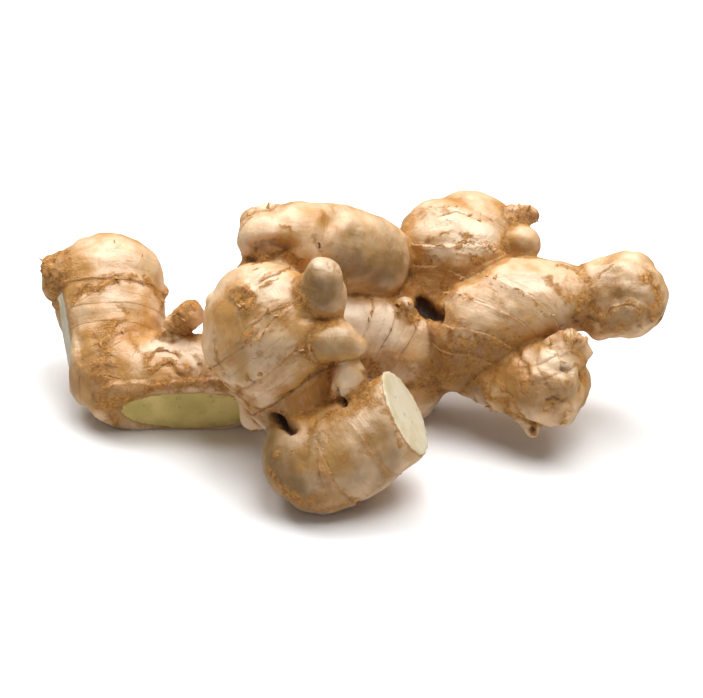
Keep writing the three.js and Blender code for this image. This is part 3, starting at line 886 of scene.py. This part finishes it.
def scarRelief(spots, paths):
    relief = np.zeros(len(spots))
    for scar in scars:
        point, _ = spotOf(scar, paths)
        share = np.linalg.norm(spots - np.array(point[:]), axis=1) / scar["radius"]
        rim = np.interp(share, [0, 0.6, 0.86, 1.05], [0.55, 0.35, 1, 0])
        relief = np.maximum(relief, scar["height"] * rim)
    for patch in patches:
        point, _ = spotOf(patch, paths)
        share = np.linalg.norm(spots - np.array(point[:]), axis=1) / patch["radius"]
        relief = np.maximum(relief, patch["height"] * (2 * np.sqrt(np.maximum(0, 1 - share ** 2)) - 1))
    for dent in dents:
        point, facing = spotOf(dent, paths)
        off = spots - np.array(point[:])
        along, across, deep = dent["size"]
        rise = np.array(Vector((1, 0, 0)).cross(facing)[:])
        inside = 1 - (off[:, 0] / along) ** 2 - ((off @ rise) / across) ** 2
        near = np.linalg.norm(off, axis=1) < along
        relief -= np.where(near, deep * np.sqrt(np.maximum(0, inside)), 0)
    return relief


def addAttribute(mesh, name, values):
    kind = "FLOAT_VECTOR" if values.ndim == 2 else "FLOAT"
    layer = mesh.attributes.new(name, kind, "POINT")
    layer.data.foreach_set("vector" if values.ndim == 2 else "value", values.astype(np.float32).ravel())


# Lumps, knots, ripples and grit: how far across they are, in mm, and a seed
unevenness = ((9, 1.7), (4.6, 2.9), (2.6, 5.1), (1.6, 9.3))
grainStep = 40.0  # mm that set one finger's grain apart from the next
grainReach = 12.0  # mm, a usual finger's radius


def buildSkin():
    paths = {name: growSpine(finger) for name, finger in fingers.items()}
    root = growBody(paths)
    mesh = root.data
    spots = vertexArray(mesh, "co")
    print("fused skin:", len(mesh.vertices), "points")
    facts = readSkin(spots, paths)
    meltOf = np.array([melt["bud"] if name in buds else melt["finger"] for name in fingers])
    melted = np.maximum(meltOf[facts["owner"]], meltOf[facts["neighbour"]])
    melted *= 1 - smoothStep(facts["gap"], 0.5, melt["reach"])
    spots += (evened(mesh, spots, melt["rounds"]) - spots) * melted[:, None]
    mesh.vertices.foreach_set("co", spots.astype(np.float32).ravel())
    mesh.update()
    normals = vertexArray(mesh, "normal")
    hollow = ((evened(mesh, spots, melt["hollowShadeRounds"]) - spots) * normals).sum(axis=1)
    wornAndHollowShade = 1 - smoothStep(hollow, *melt["hollowShadeDepths"])  # 1 where the skin bulges, 0 in hollows: bulges get paler wear and a painted highlight, hollows a painted shade
    faces = [polygon.vertices[:] for polygon in mesh.polygons]
    surface = BVHTree.FromPolygons([Vector(spot) for spot in spots], faces)
    ragged = stirred(stirred(spots, 5, 2.2, 3.1), 1.7, 1.1, 7.7)
    addLedges(stirred(spots, 4, 0.8, 1.9), normals, surface, facts)
    rust, stainDarkAndShade = markMasks(ragged, normals, surface, stainsAndShade, 2)
    pitDepth, pitShade = markMasks(stirred(spots, 2.2, 0.5, 4.4), normals, surface, pits, 2)
    soiled, wart, pale, tannedAndShade = [markMasks(ragged, normals, surface, marks, 1)[0]
                                  for marks in (grime, warts, paleAndLitPatches, tannedAndShadedPatches)]
    rough = np.array([roughness.get(name, 1) for name in fingers])[facts["owner"]]
    # Near the creases between fingers: a rust tint, and a painted shade darkening the colour
    creaseRustAndShade = np.exp(-(np.maximum(facts["gap"], 0) / 1.3) ** 2)
    outside = cutOutline(facts, spots, surface)
    facts["flesh"] = np.where(outside > 0, np.minimum(facts["flesh"], -outside), facts["flesh"])
    onCut = smoothStep(facts["flesh"], -0.3, 0.2)
    print("skin read")

    lumps, knots, ripples, grit = [noiseAt(spots, *noises) for noises in unevenness]
    relief = ringRelief(facts["ring"]) * facts["show"] * (0.7 + 0.9 * knots)
    relief += rough * (0.6 * lumps + 0.42 * knots + 0.18 * ripples)
    relief -= pitDepth
    relief += soiled * (0.3 * ripples + 0.3 * np.abs(grit))
    relief += scarRelief(spots, paths)
    relief += rust * (0.35 * ripples + 0.5 * np.abs(grit))
    relief += wart * (0.1 + 1.7 * np.abs(grit) + 0.6 * ripples)
    relief -= 0.4 * stainDarkAndShade
    relief += 0.9 * smoothStep(outside, 0, 4)
    relief *= 1 - onCut
    relief += onCut * (0.12 * lumps + 0.05 * grit)
    spots = spots + normals * relief[:, None]
    spots[:, 2] = np.maximum(spots[:, 2], 0)

    final = (spots + np.array(rootOrigin[:])) * mm
    low, high = np.array(cadBox[0][:]), np.array(cadBox[1][:])
    final = np.clip(final, low, high)
    mesh.vertices.foreach_set("co", final.astype(np.float32).ravel())
    mesh.update()
    grain = np.column_stack((facts["place"] + grainStep * facts["owner"], grainReach * np.cos(facts["turn"]),
                             grainReach * np.sin(facts["turn"])))
    # dark: dark marks together with painted shade from the stains and the pits
    layers = {"rust": rust, "dark": np.maximum(stainDarkAndShade, pitShade), "grime": soiled, "wart": wart,
              "creaseRustAndShade": creaseRustAndShade, "ring": facts["ring"], "show": facts["show"], "flesh": facts["flesh"],
              "cutTone": facts["tone"], "grain": grain, "wornAndHollowShade": wornAndHollowShade, "pale": pale, "tannedAndShade": tannedAndShade}
    for name, values in layers.items():
        addAttribute(mesh, name, values)
    mesh.shade_smooth()
    print("skin shaped")
    return root


# Stubs of roots and torn papery scales that stand off the skin: pixel, length and width in mm, their lean in
# the picture in degrees from the right, and how far they stand off the skin, 0 to 1

stubs = [
    ((44, 262), 2.4, 1, 150, 0.6), ((114, 242), 1, 0.5, 80, 0.8), ((142, 256), 1, 0.5, 60, 0.8),
    ((164, 292), 1.8, 1.1, 10, 0.5), ((162, 300), 1.8, 1, -10, 0.5), ((98, 288), 2, 0.8, 60, 0.25),
    ((118, 280), 2, 0.9, 70, 0.25), ((250, 214), 2, 0.9, 120, 0.4), ((268, 208), 2, 0.8, 70, 0.5),
    ((300, 262), 2.2, 0.5, 60, 0.3), ((400, 304), 1.8, 0.9, 150, 0.15), ((409, 303), 1.8, 0.9, 20, 0.15),
    ((520, 214), 2.4, 1, 80, 0.6), ((528, 210), 2.2, 0.9, 60, 0.7), ((534, 220), 2, 0.8, 10, 0.7),
    ((556, 266), 1.1, 0.7, 70, 0.6), ((566, 268), 1.1, 0.8, 80, 0.6), ((576, 273), 1.1, 0.8, 60, 0.6),
    ((586, 280), 1.1, 0.7, 100, 0.6), ((652, 318), 2, 0.9, -40, 0.5), ((640, 326), 1.6, 0.7, -60, 0.4),
    ((552, 342), 2, 1, 90, 0.5), ((564, 338), 2, 0.9, 70, 0.5), ((546, 412), 1.8, 0.8, 200, 0.5),
    ((568, 412), 1.8, 0.8, -30, 0.5), ((532, 424), 1.6, 0.9, -50, 0.4), ((240, 306), 1.5, 0.7, 140, 0.3),
    ((254, 270), 2, 0.4, 30, 0.2), ((372, 366), 2, 0.9, 70, 0.4), ((256, 430), 1.8, 0.8, 200, 0.4),
]

# Small scales scattered along the rings
ringScales = {"count": 150, "long": (0.8, 2), "wide": (0.3, 0.8), "stand": 0.22, "seed": 41}


def addStub(bits, point, normal, lean, long, wide, stand, twist):
    axis = (lean - normal * lean.dot(normal)).normalized() * (1 - stand) + normal * stand
    turned = axis.normalized().to_track_quat("Z", "X").to_matrix().to_4x4()
    made = bmesh.ops.create_cone(bits, cap_ends=True, segments=7, radius1=wide, radius2=0.15 * wide, depth=long)
    for vert in made["verts"]:
        share = vert.co.z / long + 0.5
        flat = Vector((vert.co.x * 0.45, vert.co.y, vert.co.z + 0.32 * long))
        flat.x += 0.3 * wide * share * share * math.sin(twist)
        flat.y += 0.5 * wide * share * math.cos(twist)
        vert.co = point + turned @ flat


def attributeValues(mesh, name):
    values = np.empty(len(mesh.vertices), dtype=np.float32)
    mesh.attributes[name].data.foreach_get("value", values)
    return values


def buildStubs(root):
    chance = np.random.default_rng(ringScales["seed"])
    spots = vertexArray(root.data, "co") / mm - np.array(rootOrigin[:])
    normals = vertexArray(root.data, "normal")
    surface = BVHTree.FromPolygons([Vector(spot) for spot in spots],
                                   [face.vertices[:] for face in root.data.polygons])
    right, up = Vector((1, 0, 0)), Vector((0, 0.5, 0.866))
    bits = bmesh.new()
    for pixel, long, wide, turn, stand in stubs:
        point, normal, _, _ = surface.ray_cast(*sightLine(*pixel))
        if point is None:
            print("no skin under a stub at", pixel)
            continue
        angle = math.radians(turn)
        lean = right * math.cos(angle) + up * math.sin(angle)
        addStub(bits, point, normal, lean, long, wide, stand, chance.uniform(0, 6))
    ring, show, flesh = [attributeValues(root.data, name) for name in ("ring", "show", "flesh")]
    edges = np.where((np.abs(ring + 0.4) < 0.4) & (show > 0.3) & (flesh < -1.5) & (spots[:, 2] > 3))[0]
    for pick in chance.choice(edges, ringScales["count"], replace=False):
        lean = Vector(chance.normal(size=3))
        addStub(bits, Vector(spots[pick]), Vector(normals[pick]), lean, chance.uniform(*ringScales["long"]),
                chance.uniform(*ringScales["wide"]), ringScales["stand"], chance.uniform(0, 6))
    low, high = np.array(cadBox[0][:]), np.array(cadBox[1][:])
    for vert in bits.verts:
        vert.co = np.clip(np.array((vert.co + rootOrigin)[:]) * mm, low, high)
    bmesh.ops.recalc_face_normals(bits, faces=bits.faces)
    mesh = bpy.data.meshes.new("rootStubs")
    bits.to_mesh(mesh)
    bits.free()
    piece = bpy.data.objects.new("rootStubs", mesh)
    bpy.context.scene.collection.objects.link(piece)
    return piece


# Shader node groups

def newGroup(name, given, results):
    group = bpy.data.node_groups.new(name, "ShaderNodeTree")
    for label, value in given.items():
        kind = "Vector" if value is None else "Color" if isinstance(value, tuple) else "Float"
        socket = group.interface.new_socket(name=label, in_out="INPUT", socket_type="NodeSocket" + kind)
        if value is not None:
            socket.default_value = value
    for label in results:
        kind = "Color" if label == "Color" else "Float"
        group.interface.new_socket(name=label, in_out="OUTPUT", socket_type="NodeSocket" + kind)
    return group, group.nodes.new("NodeGroupInput").outputs, group.nodes.new("NodeGroupOutput").inputs


def plug(tree, source, target):
    if isinstance(source, (int, float, tuple)):
        target.default_value = source
    else:
        tree.links.new(source, target)


def finished(group, out, **results):
    for label, result in results.items():
        plug(group, result, out[label])
    return group


def mathNode(tree, operation, *values):
    node = tree.nodes.new("ShaderNodeMath")
    node.operation = operation
    for socket, value in zip(node.inputs, values):
        plug(tree, value, socket)
    return node.outputs[0]


def plus(tree, first, second):
    return mathNode(tree, "ADD", first, second)


def times(tree, first, second, extra=0.0):
    return mathNode(tree, "MULTIPLY_ADD", first, second, extra)


def inverse(tree, value):
    return mathNode(tree, "SUBTRACT", 1.0, value)


def unsigned(tree, value):
    return mathNode(tree, "ABSOLUTE", value)


def most(tree, first, *others):  # the greatest of several values
    for value in others:
        first = mathNode(tree, "MAXIMUM", first, value)
    return first


def rangeNode(tree, value, low, high, outLow=0.0, outHigh=1.0):
    node = tree.nodes.new("ShaderNodeMapRange")
    node.interpolation_type = "SMOOTHSTEP"
    for socket, item in zip(node.inputs, (value, low, high, outLow, outHigh)):
        plug(tree, item, socket)
    return node.outputs["Result"]


def mixColour(tree, share, first, second):
    node = tree.nodes.new("ShaderNodeMix")
    node.data_type = "RGBA"
    for socket, value in ((node.inputs["Factor"], share), (node.inputs[6], first), (node.inputs[7], second)):
        plug(tree, value, socket)
    return node.outputs[2]


def noiseNode(tree, vector, scale, detail=3.0, roughness=0.6, distortion=0.0):
    node = tree.nodes.new("ShaderNodeTexNoise")
    plug(tree, vector, node.inputs["Vector"])
    settings = {"Scale": scale, "Detail": detail, "Roughness": roughness, "Distortion": distortion}
    for label, value in settings.items():
        node.inputs[label].default_value = value
    return node.outputs["Fac"]


def dotsNode(tree, vector, scale):
    node = tree.nodes.new("ShaderNodeTexVoronoi")
    plug(tree, vector, node.inputs["Vector"])
    plug(tree, scale, node.inputs["Scale"])
    return node.outputs


def stretched(tree, vector, factors):
    node = tree.nodes.new("ShaderNodeVectorMath")
    node.operation = "MULTIPLY"
    plug(tree, vector, node.inputs[0])
    node.inputs[1].default_value = factors
    return node.outputs[0]


def attributeNode(tree, name, output="Fac"):
    node = tree.nodes.new("ShaderNodeAttribute")
    node.attribute_name = name
    return node.outputs[output]


def groupNode(tree, group, **values):
    node = tree.nodes.new("ShaderNodeGroup")
    node.node_tree = group
    for label, value in values.items():
        plug(tree, value, node.inputs[label])
    return node.outputs


skinTones = {
    "Tan": (0.57, 0.285, 0.068, 1),
    "Pink": (0.78, 0.525, 0.3, 1),
    "Golden": (0.48, 0.185, 0.014, 1),
    "Grey": (0.46, 0.3, 0.11, 1),
}


def skinToneGroup():  # mottled papery skin with fibres along the finger and fine broken lines round it
    group, given, out = newGroup("skinTone", {"Place": None, "Grain": None, "Worn": 0.5, **skinTones},
                                 ("Color", "Lines", "Fibres"))
    place, grain, wornAndHollowShade, pink, golden = [given[label] for label in ("Place", "Grain", "Worn", "Pink", "Golden")]
    broad = noiseNode(group, place, 60)
    patchy = noiseNode(group, place, 170, 5, 0.65, 0.4)
    greyish = noiseNode(group, place, 95)
    lines = noiseNode(group, stretched(group, grain, (1.1, 0.13, 0.13)), 1, 5, 0.62, 0.5)
    fibres = noiseNode(group, stretched(group, grain, (0.22, 1.5, 1.5)), 1, 4, 0.6, 0.4)
    calm = rangeNode(group, noiseNode(group, place, 85, 2, 0.5), 0.42, 0.6)  # 0 where the skin is smooth
    # Bulging skin turns pinker, partly wear and partly a painted highlight; hollows turn golden, a painted
    # shade
    rubbedAndLit = times(group, wornAndHollowShade, 0.2, plus(group, broad, -0.13))
    spottedAndShaded = times(group, wornAndHollowShade, -0.16, plus(group, patchy, 0.08))
    lined = times(group, rangeNode(group, lines, 0.52, 0.72, 0, 0.4), calm)
    tone = mixColour(group, rangeNode(group, rubbedAndLit, 0.39, 0.6), given["Tan"], pink)
    tone = mixColour(group, rangeNode(group, greyish, 0.52, 0.7, 0, 0.4), tone, given["Grey"])
    tone = mixColour(group, rangeNode(group, spottedAndShaded, 0.48, 0.7, 0, 0.8), tone, golden)
    tone = mixColour(group, lined, tone, golden)
    tone = mixColour(group, rangeNode(group, fibres, 0.5, 0.75, 0, 0.25), tone, pink)
    calmed = times(group, plus(group, lines, -0.5), times(group, calm, 0.75, 0.25), 0.5)
    return finished(group, out, Color=tone, Lines=calmed, Fibres=fibres)


stainTones = {
    "Rusty": (0.4, 0.13, 0.008, 1),
    "Ochre": (0.66, 0.3, 0.04, 1),
    "Blackish": (0.065, 0.022, 0.006, 1),
}


def stainGroup():  # crackled rust-brown and dark marks laid over a colour; on the skin the dark share also carries painted shade
    wanted = {"Place": None, "Base": (0.6, 0.4, 0.2, 1), "Rust": 0.0, "Dark": 0.0, **stainTones}
    group, given, out = newGroup("brokenStain", wanted, ("Color", "Mask", "Crackle"))
    place, rust, dark = given["Place"], given["Rust"], given["Dark"]
    flecks = noiseNode(group, place, 900, 4, 0.65)
    wrinkled = unsigned(group, plus(group, noiseNode(group, place, 760, 3, 0.6, 1.2), -0.5))
    cracks = rangeNode(group, wrinkled, 0.01, 0.09)
    push = times(group, noiseNode(group, place, 330, 5, 0.7, 0.5), 1.5, times(group, flecks, 0.5, -1.0))
    rustMask = times(group, rangeNode(group, plus(group, rust, push), 0.12, 0.76),
                     rangeNode(group, rust, 0.03, 0.25))
    darkMask = times(group, rangeNode(group, plus(group, dark, push), 0.3, 0.85),
                     rangeNode(group, dark, 0.03, 0.3))
    tint = mixColour(group, rangeNode(group, flecks, 0.36, 0.56), given["Rusty"], given["Ochre"])
    tint = mixColour(group, times(group, cracks, -0.24, 0.24), tint, given["Blackish"])
    colour = mixColour(group, times(group, rustMask, 0.92), given["Base"], tint)
    colour = mixColour(group, darkMask, colour, given["Blackish"])
    return finished(group, out, Color=colour, Mask=rustMask, Crackle=cracks)


def freckleGroup():  # sparse small orange-brown dots
    group, given, out = newGroup("freckles", {"Place": None, "Scale": 130.0}, ("Mask",))
    dots = dotsNode(group, given["Place"], given["Scale"])
    picked = group.nodes.new("ShaderNodeSeparateColor")
    plug(group, dots["Color"], picked.inputs["Color"])
    ragged = times(group, noiseNode(group, given["Place"], 1300, 2, 0.55), 0.12, dots["Distance"])
    dot = mathNode(group, "LESS_THAN", ragged, times(group, picked.outputs["Green"], 0.09, 0.09))
    chosen = mathNode(group, "GREATER_THAN", picked.outputs["Red"], 0.62)
    return finished(group, out, Mask=times(group, dot, chosen))


def ringGroup():  # the thin line and torn papery edge that a fallen scale leaf leaves; the edge's paler colour is partly a painted highlight on the lip
    group, given, out = newGroup("ringLine", {"Place": None, "Gap": 9.0, "Width": 0.32, "Show": 1.0},
                                 ("Line", "Edge", "Halo"))
    place, show = given["Place"], given["Show"]
    shifted = plus(group, given["Gap"], times(group, noiseNode(group, place, 260), 1.1, -0.55))
    broken = rangeNode(group, noiseNode(group, place, 190, 4), 0.36, 0.56)
    thin = rangeNode(group, unsigned(group, shifted), 0.06, given["Width"])
    line = times(group, inverse(group, thin), broken)
    edge = inverse(group, rangeNode(group, unsigned(group, plus(group, shifted, 0.55)), 0.05, 0.5))
    halo = times(group, rangeNode(group, shifted, -3.2, -0.2), mathNode(group, "LESS_THAN", shifted, 0.1))
    return finished(group, out, Line=times(group, line, show), Edge=times(group, edge, show),
                    Halo=times(group, halo, show))


fleshTones = {
    "cream": (0.76, 0.68, 0.5, 1),
    "creamDeep": (0.64, 0.54, 0.33, 1),
    "olive": (0.7, 0.525, 0.16, 1),
    "oliveDeep": (0.52, 0.39, 0.085, 1),
    "fibreEnd": (0.28, 0.24, 0.12, 1),
}


def fleshGroup():  # pale juicy flesh with a darker band under the skin and fibre ends
    group, given, out = newGroup("cutFlesh", {"Place": None, "Depth": 0.0, "Tone": 0.0},
                                 ("Color", "Mask", "Rim", "Dots"))
    place, oliveShade = given["Place"], given["Tone"]
    edge = plus(group, given["Depth"], times(group, noiseNode(group, place, 330), 0.8, -0.4))
    mask = rangeNode(group, edge, 0.15, 0.5)
    rim = times(group, rangeNode(group, edge, -0.9, 0.1), inverse(group, rangeNode(group, edge, 0.3, 0.9)))
    tones = [mixColour(group, rangeNode(group, noiseNode(group, place, scale, 4), 0.35, 0.7), fleshTones[tone],
                       fleshTones[tone + "Deep"]) for tone, scale in (("cream", 160), ("olive", 120))]
    sparse = rangeNode(group, noiseNode(group, place, 240, 2, 0.55), 0.5, 0.62)
    beside = rangeNode(group, dotsNode(group, place, 330)["Distance"], 0.12, 0.3)
    dots = times(group, inverse(group, beside), sparse)
    seen = times(group, dots, times(group, oliveShade, -0.48, 0.6))
    # Tone mixes cream flesh with olive flesh, a painted shade
    colour = mixColour(group, seen, mixColour(group, oliveShade, *tones), fleshTones["fibreEnd"])
    return finished(group, out, Color=colour, Mask=mask, Rim=rim, Dots=dots)


def newMaterial(name):
    material = bpy.data.materials.new(name)
    material.use_nodes = True
    tree = material.node_tree
    place = tree.nodes.new("ShaderNodeTexCoord").outputs["Object"]
    return material, tree, tree.nodes["Principled BSDF"].inputs, place


driedScale = {
    "light": (0.6, 0.38, 0.18, 1),
    "brown": (0.4, 0.19, 0.06, 1),
    "rust": 0.45,
    "dark": 0.1,
    "roughness": 0.6,
}


def stubMaterial(groups):
    material, tree, shader, place = newMaterial("driedScale")
    shade = rangeNode(tree, noiseNode(tree, place, 260), 0.35, 0.65)
    base = mixColour(tree, shade, driedScale["light"], driedScale["brown"])
    stained = groupNode(tree, groups["brokenStain"], Place=place, Base=base, Rust=driedScale["rust"],
                        Dark=driedScale["dark"])
    plug(tree, stained["Color"], shader["Base Color"])
    shader["Roughness"].default_value = driedScale["roughness"]
    return material


skinFinish = {
    "halo": (0.46, 0.17, 0.02, 1),  # golden skin beside a ring, and where it is grimy
    "pale": (0.85, 0.67, 0.47, 1),
    "tannedAndShade": (0.27, 0.14, 0.03, 1),
    "tornEdgeHighlight": (0.78, 0.52, 0.28, 1),
    "cutRim": (0.46, 0.22, 0.06, 1),
    "roughness": (0.34, 0.52),
    "shine": 0.7,
    "coat": 0.44,
    "coatRoughness": 0.34,
    "bumpStrength": 0.75,
    "bumpReach": 0.001,
    "softness": 0.12,  # light carried under the skin
    "softRadius": (1, 0.45, 0.2),
    "softReach": 0.0025,
}


def gingerMaterial(groups):
    material, tree, shader, place = newMaterial("gingerSkin")
    rust, dark, wart, creaseRustAndShade, grime, pale, tannedAndShade = [
        attributeNode(tree, name) for name in ("rust", "dark", "wart", "creaseRustAndShade", "grime", "pale", "tannedAndShade")]
    tone = groupNode(tree, groups["skinTone"], Place=place, Grain=attributeNode(tree, "grain", "Vector"),
                     Worn=attributeNode(tree, "wornAndHollowShade"))
    ring = groupNode(tree, groups["ringLine"], Place=place, Gap=attributeNode(tree, "ring"),
                     Show=attributeNode(tree, "show"))
    flesh = groupNode(tree, groups["cutFlesh"], Place=place, Depth=attributeNode(tree, "flesh"),
                      Tone=attributeNode(tree, "cutTone"))
    freckles = groupNode(tree, groups["freckles"], Place=place)
    halo = times(tree, ring["Halo"], rangeNode(tree, noiseNode(tree, place, 120, 4), 0.46, 0.62))
    patches = rangeNode(tree, noiseNode(tree, place, 75, 4, 0.65, 0.3), 0.6, 0.8, 0, 0.35)
    rustAll = most(tree, rust, wart, freckles["Mask"], patches, times(tree, creaseRustAndShade, 0.6),
                   times(tree, halo, 0.8), times(tree, grime, 0.6), times(tree, ring["Line"], 0.9))
    # Dark marks and ring lines, with painted shade in pits, gaps, hollows and creases
    darkMarksAndShade = most(tree, dark, times(tree, ring["Line"], 0.3), times(tree, creaseRustAndShade, 0.35))
    goldenShare = times(tree, ring["Halo"], 0.45, times(tree, grime, 0.5))
    tannedAndShadeShare = times(tree, tannedAndShade, rangeNode(tree, noiseNode(tree, place, 110), 0.3, 0.6, 0.6, 1))
    colour = mixColour(tree, goldenShare, tone["Color"], skinFinish["halo"])
    # Paler dry skin, partly a painted highlight and painted light
    colour = mixColour(tree, times(tree, pale, 0.78), colour, skinFinish["pale"])
    # Older browner skin, and painted shade under and between parts
    colour = mixColour(tree, tannedAndShadeShare, colour, skinFinish["tannedAndShade"])
    stained = groupNode(tree, groups["brokenStain"], Place=place, Base=colour, Rust=rustAll, Dark=darkMarksAndShade)
    # The torn edge is paler, partly a painted highlight on the ring's lip
    colour = mixColour(tree, times(tree, ring["Edge"], 0.14), stained["Color"], skinFinish["tornEdgeHighlight"])
    colour = mixColour(tree, times(tree, flesh["Rim"], 0.85), colour, skinFinish["cutRim"])
    plug(tree, mixColour(tree, flesh["Mask"], colour, flesh["Color"]), shader["Base Color"])

    rough = rangeNode(tree, tone["Lines"], 0.3, 0.7, *skinFinish["roughness"])
    plug(tree, times(tree, stained["Mask"], 0.2, rough), shader["Roughness"])
    height = times(tree, tone["Lines"], 0.4)
    for value, weight in ((tone["Fibres"], 0.15), (noiseNode(tree, place, 700, 5, 0.68), 0.35),
                          (times(tree, stained["Mask"], stained["Crackle"]), 0.4), (ring["Line"], -0.4),
                          (ring["Edge"], 0.2)):
        height = times(tree, value, weight, height)
    height = times(tree, height, inverse(tree, flesh["Mask"]))
    height = times(tree, times(tree, flesh["Dots"], flesh["Mask"]), -0.3, height)
    bump = tree.nodes.new("ShaderNodeBump")
    bump.inputs["Strength"].default_value = skinFinish["bumpStrength"]
    bump.inputs["Distance"].default_value = skinFinish["bumpReach"]
    plug(tree, height, bump.inputs["Height"])
    plug(tree, bump.outputs["Normal"], shader["Normal"])
    plug(tree, times(tree, stained["Mask"], -skinFinish["coat"], skinFinish["coat"]), shader["Coat Weight"])
    for label, key in (("Specular IOR Level", "shine"), ("Coat Roughness", "coatRoughness"),
                       ("Subsurface Weight", "softness"), ("Subsurface Radius", "softRadius"),
                       ("Subsurface Scale", "softReach")):
        shader[label].default_value = skinFinish[key]
    return material


addCamera()
addStudio()
print("studio set")
groups = {"skinTone": skinToneGroup(), "brokenStain": stainGroup(), "freckles": freckleGroup(),
          "ringLine": ringGroup(), "cutFlesh": fleshGroup()}
skinPiece = buildSkin()
skinPiece.data.materials.clear()
skinPiece.data.materials.append(gingerMaterial(groups))
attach(skinPiece, "root")
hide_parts("ginger_root")
stubPiece = buildStubs(skinPiece)
stubPiece.data.materials.append(stubMaterial(groups))
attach(stubPiece, "root")
print("skin dressed:", len(skinPiece.data.polygons), "faces")
